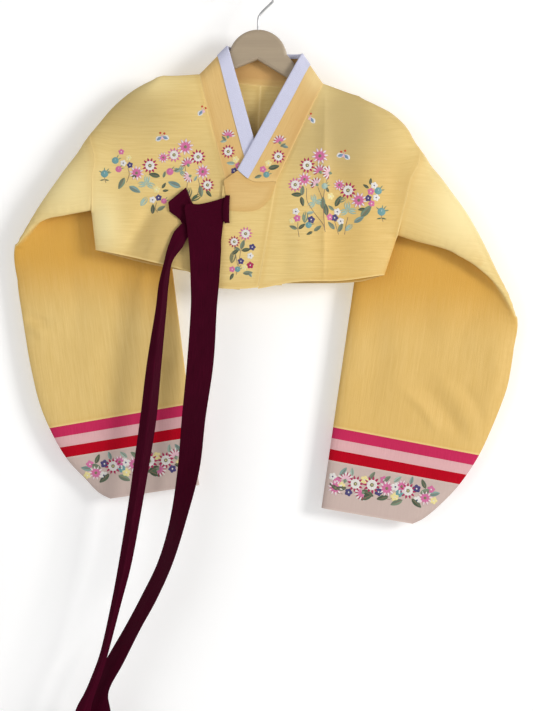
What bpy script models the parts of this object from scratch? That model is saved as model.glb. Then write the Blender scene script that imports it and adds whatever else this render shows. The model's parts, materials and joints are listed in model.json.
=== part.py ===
"""A women's jeogori, the jacket of a hanbok, hanging on a wooden hanger.

Units are metres, +Z is up, the front faces -Y and the wearer's left lies at +X. The origin is the
inner top of the hook, where a rail would carry it. Each half of the jacket is one smooth surface,
worked out flat in the plane that it hangs in and then folded back along a slanting line, so that
the lower sleeve hangs behind the body. The pieces are cut from that surface at their seams.
"""

import math
from collections import namedtuple

import bmesh
import bpy
import numpy as np

# Cloth and seams
CLOTH = 0.0012  # wall of the body, sleeves, stripes, cuffs and collar: cloth, interlining and lining
STRIP_CLOTH = 0.0008  # wall of the stiff white collar strip
RIBBON_CLOTH = 0.0010  # wall of a ribbon, two layers of satin
SEAM = 0.0003  # gap under a piece that lies on another
SEAM_DRAW = 0.00015  # how far each of two sewn pieces stops short of their seam
LEAST_SPREAD = 0.6  # keeps a sharp corner of a piece from being drawn in too far

# Depth of the hanging jacket, from its middle plane to the middle of its wall
BODY_DEPTH = 0.011
SLEEVE_DEPTH = 0.007
NARROW_FROM = 0.010  # the body starts to narrow to the sleeve's depth this far inside the fold line
NARROW_WIDTH = 0.100
SHOULDER_ROUNDING = 0.018  # how far below its top fold the cloth reaches its full depth
SEAM_ROUNDING = 0.030  # the same, from the side and underarm seams
OVERLAP_LIFT = 0.0035  # how far the outer front stands forward of the inner front
LIFT_DOWN = 0.080  # the lift builds up over this distance below the shoulder
LIFT_CENTRE = 0.060  # x up to which the lift is full, and x where it has faded out
LIFT_SIDE = 0.200

# Sleeve, measured along its straight top fold from the armhole
SLEEVE_LENGTH = 0.5615
CUFF = 0.0720
STRIPE = 0.0162
STRIPE_LEAN = 0.0080  # a ring's lower end lies this much further along than its upper one
CUFF_LEAN = 0.0045
FOLD_RADIUS = 0.0135  # depth radius of the bend where the sleeve turns back
FOLD_HALF = 0.036  # flat cloth on each side of the fold line that takes part in the bend

# How each half hangs. Points are (x, z) in the hanging plane before the sleeve is folded back,
# angles are in degrees, and the collar stands forward of the front that it is sewn to.
Hang = namedtuple(
    "Hang",
    "side sign neck neck_top shoulder armhole_top armhole_bottom hem_corner droop "
    "fold_point fold_lean collar_raise neck_column",
)
RIGHT = Hang(
    side="right",
    sign=-1,
    neck=(-0.0890, -0.1375),
    neck_top=(-0.0477, -0.0954),
    shoulder=(-0.1410, -0.1395),
    armhole_top=(-0.2489, -0.1302),
    armhole_bottom=(-0.2505, -0.3450),
    hem_corner=(-0.2445, -0.4005),
    droop=10.96,
    fold_point=(-0.2496, -0.2244),
    fold_lean=36.0,
    collar_raise=0.0004,
    neck_column=-0.0840,
)
LEFT = Hang(
    side="left",
    sign=1,
    neck=(0.0955, -0.1514),
    neck_top=(0.0648, -0.1070),
    shoulder=(0.1605, -0.1728),
    armhole_top=(0.2538, -0.1819),
    armhole_bottom=(0.2055, -0.3840),
    hem_corner=(0.1875, -0.4380),
    droop=17.56,
    fold_point=(0.2334, -0.2360),
    fold_lean=32.1,
    collar_raise=CLOTH + SEAM,
    neck_column=0.0640,
)

# Visible edge of each folded sleeve: how far outside the fold line it lies, down that line
FOLD_EDGE = {
    "right": (
        # down the line, outside it
        (-0.122, -0.025),
        (-0.071, -0.007),
        (-0.028, 0.001),
        (0.079, 0.003),
        (0.188, -0.002),
        (0.222, -0.014),
    ),
    "left": (
        # down the line, outside it
        (-0.092, -0.028),
        (-0.069, -0.013),
        (-0.045, -0.003),
        (-0.019, 0.0028),
        (0.011, 0.001),
        (0.074, 0.0064),
        (0.146, 0.0100),
        (0.235, 0.0030),
        (0.281, 0.0005),
        (0.308, -0.0095),
    ),
}

# Depth of each sleeve below its top fold
BAERAE = (
    # along, right, left
    (0.045, 0.208, 0.205),
    (0.090, 0.206, 0.204),
    (0.130, 0.213, 0.207),
    (0.165, 0.231, 0.217),
    (0.200, 0.239, 0.236),
    (0.235, 0.240, 0.253),
    (0.290, 0.236, 0.255),
    (0.350, 0.231, 0.250),
    (0.410, 0.221, 0.236),
    (0.455, 0.209, 0.222),
    (0.500, 0.189, 0.200),
    (0.535, 0.164, 0.176),
    (0.567, 0.139, 0.143),
)

# Hems, from the right side seam to the left one
FRONT_HEM = (
    # x, z
    (-0.2445, -0.4005),
    (-0.1760, -0.4150),
    (-0.1030, -0.4345),
    (-0.0480, -0.4575),
    (-0.0100, -0.4600),
    (0.0550, -0.4490),
    (0.1245, -0.4470),
    (0.1875, -0.4380),
)
BACK_HEM = (
    # x, z
    (-0.2445, -0.4005),
    (-0.1760, -0.4185),
    (-0.1030, -0.4330),
    (-0.0140, -0.4480),
    (0.0860, -0.4500),
    (0.1500, -0.4478),
    (0.1875, -0.4380),
)

# Collar: its outer and inner edge at the ends of the two front legs
GIT_END_RIGHT = ((-0.0413, -0.3330), (0.0186, -0.3330))
GIT_END_LEFT = ((0.0256, -0.2985), (-0.0315, -0.2822))
GIT_POINT = (
    # share of the width from the inner edge, how much longer the left leg is there
    (0.00, 0.0000),
    (0.35, 0.0086),
    (0.55, 0.0095),
    (1.00, 0.0000),
)
GIT_ACROSS = (0, 0.12, 0.35, 0.55, 0.78, 1)  # shares of the width from the inner edge
NECK_DIP = 0.008  # the back neck seam hangs this much below the line between the shoulders
NECK_TOP_DIP = 0.003
CENTRE_BACK = 0.495  # share of the back neck seam, from the right, where the two halves meet
DONGJEONG = 0.020  # width of the white strip outside, and of its turned-in edge
DONGJEONG_INSIDE = 0.006
DONGJEONG_HIDDEN = 3  # lengths of the right leg, from its hidden end, that the strip leaves bare
DONGJEONG_TURN = 0.0003  # the middle of its turn lies this far inside the collar's edge

# Front overlaps and the centre-back seam at the hem
SEOP_TOP = (0.0252, -0.3020)
SEOP_FOOT = (-0.0015, -0.4572)
SEOP_EDGE = ((-0.0520, -0.3050), (-0.0550, -0.4586))
SEOP_INNER_FOOT = (-0.0285, -0.4590)
SEOP_INNER_EDGE = ((0.0190, -0.3335), (0.0345, -0.4540))
SEOP_COLUMNS = 3
SEOP_ROWS = 6
CENTRE_BACK_FOOT = -0.0140

# Round lower edge of the collar's head, from the end of the collar's outer edge to its corner
HEAD_CUP = (
    # x, z
    (0.0225, -0.3080),
    (0.0178, -0.3200),
    (0.0115, -0.3300),
    (0.0035, -0.3380),
    (-0.0080, -0.3425),
    (-0.0220, -0.3435),
    (-0.0465, -0.3420),
    (-0.0525, -0.2975),
)

# Rows of the body, as shares of its height. ARMHOLE_ROW reaches the bottom of the armhole.
BODY_ROWS = (
    0, 0.009, 0.026, 0.058, 0.12, 0.20, 0.29, 0.39, 0.49, 0.59, 0.68, 0.74, 0.775, 0.79,
    0.83, 0.88, 0.94, 1,
)  # fmt: skip
ARMHOLE_ROW = 13
LEG_SHARES = (0, 0.012, 0.035, 0.075, 0.15, 0.30, 0.50, 0.75, 1)  # down a leg from the shoulder
BACK_SHARES = (0, 0.026, 0.075, 0.15, 0.28, 0.45, 0.62, 0.80, 1)  # from a shoulder to the centre
CENTRE_COLUMNS = 8  # from the centre to the neck, one for each share above
SIDE_COLUMNS = 11  # from the neck to the armhole
FINE_STATION = 0.018  # spacing of the sleeve's sections where it bends
FINE_STATIONS = 14
COARSE_STATIONS = 5
CUFF_STATIONS = 3

# Long ribbon where it is sewn on and turns down, by its upper and lower edge
LONG_TAB = (
    # upper_x, upper_z, lower_x, lower_z, y
    (-0.0445, -0.3205, -0.0445, -0.3622, -0.0176),
    (-0.0660, -0.3278, -0.0495, -0.3740, -0.0180),
    (-0.0885, -0.3330, -0.0533, -0.3825, -0.0190),
    (-0.1095, -0.3345, -0.0566, -0.3870, -0.0205),
    (-0.1080, -0.3600, -0.0562, -0.3945, -0.0225),
)
# Long ribbon as it hangs: middle, half width, and how far its left edge lies behind its middle
LONG_RIBBON = (
    # z, x, y, half_width, turn
    (-0.4050, -0.0800, -0.0225, 0.0237, 0.0000),
    (-0.4500, -0.0805, -0.0230, 0.0213, 0.0015),
    (-0.4905, -0.0822, -0.0235, 0.0195, 0.0035),
    (-0.5700, -0.0874, -0.0230, 0.0199, 0.0040),
    (-0.6525, -0.0973, -0.0225, 0.0178, 0.0075),
    (-0.7275, -0.1048, -0.0220, 0.0165, 0.0105),
    (-0.8030, -0.1203, -0.0220, 0.0123, 0.0140),
    (-0.8655, -0.1389, -0.0210, 0.0113, 0.0150),
    (-0.9195, -0.1637, -0.0200, 0.0123, 0.0140),
    (-0.9645, -0.1880, -0.0190, 0.0120, 0.0130),
    (-1.0155, -0.2155, -0.0180, 0.0140, 0.0110),
    (-1.0580, -0.2370, -0.0170, 0.0135, 0.0100),
    (-1.0920, -0.2420, -0.0165, 0.0215, 0.0070),
    (-1.1350, -0.2450, -0.0165, 0.0235, 0.0050),
    (-1.1850, -0.2490, -0.0165, 0.0240, 0.0040),
)
# Short ribbon: its puffed start, by its outer and inner edge, and then as it hangs
SHORT_TAB = (
    # outer_x, outer_z, outer_y, inner_x, inner_z, inner_y
    (-0.0850, -0.3480, -0.0128, -0.0850, -0.3640, -0.0128),
    (-0.1030, -0.3380, -0.0138, -0.0940, -0.3620, -0.0134),
    (-0.1110, -0.3105, -0.0160, -0.1000, -0.3605, -0.0138),
    (-0.1230, -0.3175, -0.0175, -0.1035, -0.3610, -0.0142),
    (-0.1335, -0.3315, -0.0180, -0.1052, -0.3630, -0.0148),
    (-0.1318, -0.3450, -0.0180, -0.1060, -0.3665, -0.0152),
    (-0.1205, -0.3500, -0.0175, -0.1060, -0.3720, -0.0160),
    (-0.1146, -0.3615, -0.0175, -0.1050, -0.3810, -0.0168),
    (-0.1253, -0.3795, -0.0185, -0.1103, -0.3900, -0.0180),
)
SHORT_RIBBON = (
    # z, x, y, half_width, crest
    (-0.3975, -0.1269, -0.0195, 0.0096, 0.0030),
    (-0.4410, -0.1394, -0.0195, 0.0068, 0.0050),
    (-0.4905, -0.1460, -0.0195, 0.0080, 0.0060),
    (-0.5700, -0.1560, -0.0200, 0.0108, 0.0070),
    (-0.6500, -0.1645, -0.0205, 0.0120, 0.0080),
    (-0.7155, -0.1740, -0.0210, 0.0114, 0.0080),
    (-0.7785, -0.1837, -0.0220, 0.0104, 0.0080),
    (-0.8655, -0.1986, -0.0240, 0.0095, 0.0080),
    (-0.9270, -0.2120, -0.0290, 0.0072, 0.0070),
    (-0.9960, -0.2284, -0.0350, 0.0058, 0.0060),
    (-1.0350, -0.2410, -0.0380, 0.0070, 0.0050),
    (-1.0600, -0.2510, -0.0375, 0.0080, 0.0050),
    (-1.0830, -0.2600, -0.0365, 0.0110, 0.0050),
    (-1.1250, -0.2680, -0.0355, 0.0150, 0.0045),
    (-1.1700, -0.2720, -0.0355, 0.0160, 0.0040),
)
RIBBON_COLUMNS = 4

# Hanger, in its own frame: origin at the top of the notch under its head, then tilted
NOTCH = (-0.0024, -0.1155)
HANGER_TILT = 4.5
HANGER_THICKNESS = 0.010
HANGER_ROUNDING = 0.0045
HANGER_ROUNDING_PARTS = 2
HEAD_RADIUS = 0.044
HEAD_CENTRE = (0.0008, 0.0016)
HEAD_START_Z = 0.0115  # height at which the round head rises from the arms
HEAD_PARTS = 22
NOTCH_SLOPE = 27.0
NOTCH_REACH = 0.095
ARM_TOP = (
    # out from the middle, height
    (0.0545, 0.0005),
    (0.0850, -0.0320),
    (0.1320, -0.0412),
)
ARM_DEPTH = 0.0155  # height of the arm at its tip
TIP_PARTS = 6

# Hook
WIRE = 0.00175  # radius
WIRE_SIDES = 10
HOOK_RADIUS = 0.0225  # of the wire's middle line
HOOK_SHANK = ((-0.0012, -0.0920), (-0.0010, -0.0520), (0.0045, -0.0435), (0.0215, -0.0270))
HOOK_END = 205  # degrees turned anticlockwise, from pointing right, where the wire stops
HOOK_STEP = 12  # degrees between the wire's sections
SOCKET = 0.0022  # radius of the hole in the hanger's head
SOCKET_SIDES = 16
SOCKET_FLOOR = -0.0925
SOCKET_TOP = -0.0600


# Finishes
Finish = namedtuple("Finish", "colour roughness metallic", defaults=(0.0,))
YELLOW_CLOTH = Finish((0.84, 0.66, 0.26), 0.75)
COLLAR_CLOTH = Finish((0.78, 0.49, 0.16), 0.70)
WHITE_STRIP = Finish((0.82, 0.80, 0.84), 0.50)
BURGUNDY_SATIN = Finish((0.055, 0.006, 0.018), 0.35)
MAGENTA_CLOTH = Finish((0.62, 0.03, 0.14), 0.70)
PINK_CLOTH = Finish((0.76, 0.46, 0.46), 0.70)
RED_CLOTH = Finish((0.58, 0.0, 0.018), 0.70)
CUFF_CLOTH = Finish((0.74, 0.55, 0.50), 0.75)
WOOD = Finish((0.42, 0.32, 0.22), 0.50)
STEEL = Finish((0.55, 0.55, 0.56), 0.35, 0.9)


def eased(share):
    """0 to 1 with level ends."""
    share = min(max(share, 0.0), 1.0)
    return share * share * (3 - 2 * share)


def rounded(distance, reach):
    """Quarter of an ellipse: 0 at an edge, 1 at reach from it."""
    share = min(max(distance / reach, 0.0), 1.0)
    return math.sqrt(1 - (1 - share) ** 2)


def between(a, b, share):
    """The point that lies this share of the way from a to b."""
    return tuple(p + (q - p) * share for p, q in zip(a, b))


def curve_value(rows, at, column=1):
    """A table's column at a value of its first one, on a smooth curve through the rows."""
    keys = [row[0] for row in rows]
    values = [row[column] for row in rows]
    at = min(max(at, min(keys[0], keys[-1])), max(keys[0], keys[-1]))
    if keys[0] > keys[-1]:
        keys, values = keys[::-1], values[::-1]
    last = len(keys) - 1
    i = min(int(np.searchsorted(keys, at, side="right")) - 1, last - 1)
    span = keys[i + 1] - keys[i]
    share = (at - keys[i]) / span
    slopes = []
    for j in (i, i + 1):
        low, high = max(j - 1, 0), min(j + 1, last)
        slopes.append((values[high] - values[low]) / (keys[high] - keys[low]) * span)
    rise = values[i + 1] - values[i]
    cubic = slopes[0] + slopes[1] - 2 * rise
    square = 3 * rise - 2 * slopes[0] - slopes[1]
    return values[i] + share * (slopes[0] + share * (square + share * cubic))


def segment_distance(point, a, b):
    """Distance of a point from the segment between a and b, in the hanging plane."""
    ab = np.subtract(b, a)
    share = np.dot(np.subtract(point, a), ab) / np.dot(ab, ab)
    return float(np.linalg.norm(np.subtract(point, between(a, b, min(max(share, 0), 1)))))


class Cloth:
    """Named points of one smooth surface, and the triangles that join them."""

    def __init__(self):
        self.index = {}
        self.points = []

    def add(self, key, point):
        if key not in self.index:
            self.index[key] = len(self.points)
            self.points.append(point)

    def quads(self, cells, flip):
        """Triangles of the cells, each split along the same diagonal."""
        triangles = []
        for corners in cells:
            a, b, c, d = (self.index[key] for key in corners)
            for triangle in ((a, b, c), (a, c, d)):
                if len(set(triangle)) == 3:
                    triangles.append(triangle[::-1] if flip else triangle)
        return triangles


def vertex_normals(points, triangles):
    normals = np.zeros_like(points)
    for triangle in triangles:
        a, b, c = points[list(triangle)]
        normal = np.cross(b - a, c - a)
        for corner in triangle:
            normals[corner] += normal
    lengths = np.linalg.norm(normals, axis=1)
    lengths[lengths == 0] = 1
    return normals / lengths[:, None]


def rim_edges(triangles):
    """Edges that only one triangle has, with the triangle's third corner."""
    seen = {}
    for a, b, c in triangles:
        for p, q, r in ((a, b, c), (b, c, a), (c, a, b)):
            if (q, p) in seen:
                del seen[(q, p)]
            else:
                seen[(p, q)] = r
    return [(p, q, r) for (p, q), r in seen.items()]


def drawn_in(points, normals, rims, distance):
    """The points with each rim moved into its own sheet, square to the shared normals."""
    inward = {}
    for p, q, r in rims:
        along = points[q] - points[p]
        along = along / np.linalg.norm(along)
        toward = points[r] - points[p]
        toward = toward - along * np.dot(toward, along)
        toward = toward / np.linalg.norm(toward)
        inward.setdefault(p, []).append(toward)
        inward.setdefault(q, []).append(toward)
    moved = points.copy()
    for corner, directions in inward.items():
        if len(directions) == 2:
            inside = directions[0] + directions[1]
            inside = inside - normals[corner] * np.dot(inside, normals[corner])
            spread = max(np.dot(inside, directions[0]), LEAST_SPREAD)
            moved[corner] += distance * inside / spread
    return moved


def add_solid(name, vertices, faces, finish):
    """One named solid with a material of its own."""
    mesh = bpy.data.meshes.new(name)
    mesh.from_pydata([tuple(map(float, vertex)) for vertex in vertices], [], faces)
    mesh.validate()
    solid = bpy.data.objects.new(name, mesh)
    bpy.context.scene.collection.objects.link(solid)
    material = bpy.data.materials.new(name)
    material.use_nodes = True
    shader = material.node_tree.nodes["Principled BSDF"]
    shader.inputs["Base Color"].default_value = (*finish.colour, 1)
    shader.inputs["Roughness"].default_value = finish.roughness
    shader.inputs["Metallic"].default_value = finish.metallic
    mesh.materials.append(material)
    return solid


def add_sheet(name, points, normals, triangles, wall, seam, finish):
    """A closed wall of even thickness on some triangles of a surface."""
    rims = rim_edges(triangles)
    moved = drawn_in(points, normals, rims, seam)
    used = sorted({corner for triangle in triangles for corner in triangle})
    new = {old: i for i, old in enumerate(used)}
    count = len(used)
    outer = moved[used] + normals[used] * wall / 2
    inner = moved[used] - normals[used] * wall / 2
    faces = [tuple(new[corner] for corner in triangle) for triangle in triangles]
    faces += [tuple(new[corner] + count for corner in triangle[::-1]) for triangle in triangles]
    for p, q, _ in rims:
        a, b = new[p], new[q]
        if p > q:  # both sides of a seam split their rims along the same diagonal
            faces += [(b, a, a + count), (b, a + count, b + count)]
        else:
            faces += [(b, a, b + count), (a, a + count, b + count)]
    return add_solid(name, np.vstack((outer, inner)), faces, finish)


# The two halves of the jacket

FRONT, BACK = "front", "back"
NECK = CENTRE_COLUMNS
ARMHOLE = CENTRE_COLUMNS + SIDE_COLUMNS
HEM_ROW = len(BODY_ROWS) - 1


def fold_axes(hang):
    """Unit vectors down the fold line and outward from it."""
    lean = math.radians(hang.fold_lean)
    down = (hang.sign * math.sin(lean), -math.cos(lean))
    outward = (hang.sign * math.cos(lean), math.sin(lean))
    return down, outward


def full_depth(hang, point):
    """Depth of the hanging cloth away from its edges."""
    _, outward = fold_axes(hang)
    inside = -np.dot(np.subtract(point, hang.fold_point), outward)
    share = eased((inside - NARROW_FROM) / NARROW_WIDTH)
    return SLEEVE_DEPTH + (BODY_DEPTH - SLEEVE_DEPTH) * share


def cloth_depth(hang, point, below_top, from_seam):
    return (
        full_depth(hang, point)
        * rounded(below_top, SHOULDER_ROUNDING)
        * rounded(from_seam, SEAM_ROUNDING)
    )


def overlap_lift(hang, point, below_top):
    """How far the outer front stands forward here."""
    if hang.sign < 0:
        return 0.0
    across = eased((LIFT_SIDE - point[0]) / (LIFT_SIDE - LIFT_CENTRE))
    return OVERLAP_LIFT * across * eased(below_top / LIFT_DOWN)


def folded(hang, point, forward):
    """A point of the hanging plane, a distance forward of it, after the sleeve is folded back."""
    down, outward = fold_axes(hang)
    along = float(np.dot(np.subtract(point, hang.fold_point), down))
    out = float(np.dot(np.subtract(point, hang.fold_point), outward))
    if out <= -FOLD_HALF:
        return (point[0], -forward, point[1])
    if out >= FOLD_HALF:
        level = -out
        y = 2 * FOLD_RADIUS + forward
    else:
        edge = curve_value(FOLD_EDGE[hang.side], along)
        ends = [row[0] for row in FOLD_EDGE[hang.side]]
        nearest_end = min(along - ends[0], ends[-1] - along)
        depth = SLEEVE_DEPTH * rounded(nearest_end, SEAM_ROUNDING) + CLOTH / 2
        reach = FOLD_HALF + edge - depth
        turn = math.pi * (out + FOLD_HALF) / (2 * FOLD_HALF)
        level = -FOLD_HALF + (reach + forward) * math.sin(turn)
        y = FOLD_RADIUS - (FOLD_RADIUS + forward) * math.cos(turn)
    x, z = (
        hang.fold_point[i] + down[i] * along + outward[i] * level for i in range(2)
    )
    return (x, y, z)


def neck_seam(share, depth_of_dip, ends):
    """A point of the back neck, from its right shoulder to its left one."""
    x, z = between(ends[0], ends[1], share)
    return (x, z - depth_of_dip * 4 * share * (1 - share))


def git_line(layer, hang, share):
    """The collar's outer and inner edge at a share of one leg, or of half the back."""
    if layer == FRONT:
        ends = GIT_END_RIGHT if hang.sign < 0 else GIT_END_LEFT
        return between(hang.neck, ends[0], share), between(hang.neck_top, ends[1], share)
    if hang.sign < 0:
        across = CENTRE_BACK * share
    else:
        across = 1 - (1 - CENTRE_BACK) * share
    return (
        neck_seam(across, NECK_DIP, (RIGHT.neck, LEFT.neck)),
        neck_seam(across, NECK_TOP_DIP, (RIGHT.neck_top, LEFT.neck_top)),
    )


def body_column(layer, hang, k):
    """Top and hem points of one column, counted from the centre outward."""
    hem = FRONT_HEM if layer == FRONT else BACK_HEM
    if layer == BACK:
        foot = CENTRE_BACK_FOOT
    else:
        foot = SEOP_INNER_FOOT[0] if hang.sign < 0 else SEOP_FOOT[0]
    if k <= NECK:
        shares = LEG_SHARES if layer == FRONT else BACK_SHARES
        top = git_line(layer, hang, shares[NECK - k])[0]
        x = foot + (hang.neck_column - foot) * k / NECK
    else:
        share = (k - NECK) / SIDE_COLUMNS
        top_x = hang.neck[0] + (hang.armhole_top[0] - hang.neck[0]) * share
        top = (top_x, curve_value((hang.neck, hang.shoulder, hang.armhole_top), top_x))
        x = hang.neck_column + (hang.hem_corner[0] - hang.neck_column) * share
    return top, (x, curve_value(hem, x))


def body_point(layer, hang, k, j):
    top, bottom = body_column(layer, hang, k)
    share = BODY_ROWS[j]
    straight = between(hang.armhole_top, hang.hem_corner, share)
    armhole_share = BODY_ROWS[ARMHOLE_ROW]
    if share < armhole_share:
        bent = between(hang.armhole_top, hang.armhole_bottom, share / armhole_share)
    else:
        lower = (share - armhole_share) / (1 - armhole_share)
        bent = between(hang.armhole_bottom, hang.hem_corner, lower)
    side_share = eased((k - NECK) / SIDE_COLUMNS)
    x, z = between(top, bottom, share)
    return (
        x + (bent[0] - straight[0]) * side_share,
        z + (bent[1] - straight[1]) * side_share,
    )


def body_below_top(hang, point, k, j):
    if k >= NECK:
        top, bottom = body_column(FRONT, hang, k)
        return BODY_ROWS[j] * math.dist(top, bottom)
    return min(
        segment_distance(point, hang.neck, hang.neck_top),
        segment_distance(point, hang.neck, hang.shoulder),
    )


def sleeve_stations():
    """Places of the sleeve's sections along its top fold, and where its pieces start."""
    stripes = SLEEVE_LENGTH - CUFF - 3 * STRIPE
    places = [FINE_STATION * i for i in range(1, FINE_STATIONS + 1)]
    step = (stripes - places[-1]) / COARSE_STATIONS
    places += [places[-1] + step * i for i in range(1, COARSE_STATIONS + 1)]
    starts = [0, len(places)]
    for _ in range(3):
        places.append(places[-1] + STRIPE)
        starts.append(len(places))
    places += [places[-1] + CUFF / CUFF_STATIONS * (i + 1) for i in range(CUFF_STATIONS)]
    starts.append(len(places))
    return places, starts


def sleeve_column(hang, place):
    """Top and bottom points of one section across the flat sleeve."""
    droop = math.radians(hang.droop)
    outward = (hang.sign * math.cos(droop), -math.sin(droop))
    downward = (-hang.sign * math.sin(droop), -math.cos(droop))
    armhole = np.subtract(hang.armhole_bottom, hang.armhole_top)
    stripes = SLEEVE_LENGTH - CUFF - 3 * STRIPE
    leans = (
        (0.0, float(np.dot(armhole, outward))),
        (stripes, STRIPE_LEAN),
        (SLEEVE_LENGTH, CUFF_LEAN),
    )
    foot = place + curve_value(leans, place)
    depth = curve_value(BAERAE, foot, 1 if hang.sign < 0 else 2)
    top = tuple(hang.armhole_top[i] + outward[i] * place for i in range(2))
    bottom = tuple(
        hang.armhole_top[i] + outward[i] * foot + downward[i] * depth for i in range(2)
    )
    return top, bottom


def shared_key(layer, k, j):
    """The two layers share the top fold, the side seam and the underarm seam."""
    on_fold = j == 0 and k >= NECK
    on_seam = k >= ARMHOLE and j >= ARMHOLE_ROW
    return ("both" if on_fold or on_seam else layer, k, j)


def half_jacket(hang):
    """One smooth surface for the body, sleeve, stripes and cuff of one side."""
    cloth = Cloth()
    for layer in (FRONT, BACK):
        forward_sign = 1 if layer == FRONT else -1
        for k in range(ARMHOLE + 1):
            for j in range(HEM_ROW + 1):
                key = shared_key(layer, k, j)
                point = body_point(layer, hang, k, j)
                below_top = body_below_top(hang, point, k, j)
                from_seam = segment_distance(point, hang.armhole_bottom, hang.hem_corner)
                depth = cloth_depth(hang, point, below_top, from_seam)
                if layer == FRONT:
                    depth += overlap_lift(hang, point, below_top)
                if key[0] == "both":
                    depth = 0.0
                cloth.add(key, folded(hang, point, depth * forward_sign))
        for i, place in enumerate(sleeve_stations()[0]):
            top, bottom = sleeve_column(hang, place)
            length = math.dist(top, bottom)
            for j in range(ARMHOLE_ROW + 1):
                key = shared_key(layer, ARMHOLE + 1 + i, j)
                share = BODY_ROWS[j] / BODY_ROWS[ARMHOLE_ROW]
                point = between(top, bottom, share)
                depth = cloth_depth(hang, point, share * length, (1 - share) * length)
                cloth.add(key, folded(hang, point, depth * forward_sign))
    return cloth


def side_cells(layer, columns, rows):
    for k in columns:
        for j in rows:
            corners = ((k, j), (k + 1, j), (k + 1, j + 1), (k, j + 1))
            yield tuple(shared_key(layer, *corner) for corner in corners)


def half_surface(hang):
    """The side's surface with the triangles of each of its pieces."""
    cloth = half_jacket(hang)
    starts = [ARMHOLE + start for start in sleeve_stations()[1]]
    spans = (
        ("body", range(ARMHOLE), range(HEM_ROW), YELLOW_CLOTH),
        ("sleeve", range(starts[0], starts[1]), range(ARMHOLE_ROW), YELLOW_CLOTH),
        ("stripe_magenta", range(starts[1], starts[2]), range(ARMHOLE_ROW), MAGENTA_CLOTH),
        ("stripe_pink", range(starts[2], starts[3]), range(ARMHOLE_ROW), PINK_CLOTH),
        ("stripe_red", range(starts[3], starts[4]), range(ARMHOLE_ROW), RED_CLOTH),
        ("cuff_band", range(starts[4], starts[5]), range(ARMHOLE_ROW), CUFF_CLOTH),
    )
    triangles = {}
    for name, columns, rows, _ in spans:
        triangles[name] = []
        for layer in (FRONT, BACK):
            flip = (hang.sign > 0) == (layer == FRONT)
            triangles[name] += cloth.quads(side_cells(layer, columns, rows), flip)
    points = np.array(cloth.points)
    normals = vertex_normals(points, sum(triangles.values(), []))
    finishes = {name: finish for name, _, _, finish in spans}
    return cloth.index, points, normals, triangles, finishes


def make_half(hang, surface):
    _, points, normals, triangles, finishes = surface
    for name, finish in finishes.items():
        node = f"{name}_{hang.side}"
        add_sheet(node, points, normals, triangles[name], CLOTH, SEAM_DRAW, finish)


# Collar

def git_surface(layer, hang, share, across):
    """A point of the collar's middle surface; across runs from its inner edge to its outer one."""
    outer, inner = git_line(layer, hang, share)
    point = between(inner, outer, across)
    if layer == FRONT and hang.sign > 0:
        down = np.subtract(GIT_END_LEFT[1], hang.neck_top)
        longer = curve_value(GIT_POINT, across) * eased((share - 0.5) * 2)
        point = tuple(point + down / np.linalg.norm(down) * longer)
    below_top = min(segment_distance(point, side.neck, side.neck_top) for side in (RIGHT, LEFT))
    depth = BODY_DEPTH * rounded(below_top, SHOULDER_ROUNDING)
    if layer == FRONT:
        depth += overlap_lift(hang, point, below_top)
        depth += hang.collar_raise * eased(below_top / SHOULDER_ROUNDING)
    return (point[0], -depth if layer == FRONT else depth, point[1])


def git_stations():
    """Sections of the collar from its hidden right end to its left end."""
    stations = [(FRONT, RIGHT, share) for share in LEG_SHARES[::-1]]
    stations += [(BACK, RIGHT, share) for share in BACK_SHARES[1:]]
    stations += [(BACK, LEFT, share) for share in BACK_SHARES[-2::-1]]
    stations += [(FRONT, LEFT, share) for share in LEG_SHARES[1:]]
    return stations


def grid_surface(rows, flip):
    """Points, normals and triangles of a surface through rows of points."""
    columns = len(rows[0])
    points = np.array([point for row in rows for point in row])
    triangles = []
    for i in range(len(rows) - 1):
        for j in range(columns - 1):
            a = i * columns + j
            b, c, d = a + columns, a + columns + 1, a + 1
            for triangle in ((a, b, c), (a, c, d)):
                triangles.append(triangle[::-1] if flip else triangle)
    return points, vertex_normals(points, triangles), triangles


def grid_sheet(name, rows, wall, seam, finish, flip):
    """A wall on rows of points."""
    points, normals, triangles = grid_surface(rows, flip)
    add_sheet(name, points, normals, triangles, wall, seam, finish)


def make_git(surfaces):
    """The collar. Where it is sewn to the body, both walls face the same way."""
    stations = git_stations()
    rows = [[git_surface(*station, across) for across in GIT_ACROSS] for station in stations]
    points, normals, triangles = grid_surface(rows, flip=False)
    joined = {}
    for i, (layer, hang, share) in enumerate(stations):
        shares = LEG_SHARES if layer == FRONT else BACK_SHARES
        k = NECK - shares.index(share)
        joined.setdefault((hang.side, shared_key(layer, k, 0)), []).append(i)
        if layer == BACK and k == 0:
            joined.setdefault((LEFT.side, shared_key(layer, k, 0)), []).append(i)
    outer_edge = len(GIT_ACROSS) - 1
    for (side, key), places in joined.items():
        index, _, body_normals, _, _ = surfaces[side]
        for i in places:
            corner = i * len(GIT_ACROSS) + outer_edge
            both = normals[corner] + body_normals[index[key]]
            normals[corner] = body_normals[index[key]] = both / np.linalg.norm(both)
    add_sheet("git", points, normals, triangles, CLOTH, SEAM_DRAW, COLLAR_CLOTH)


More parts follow.
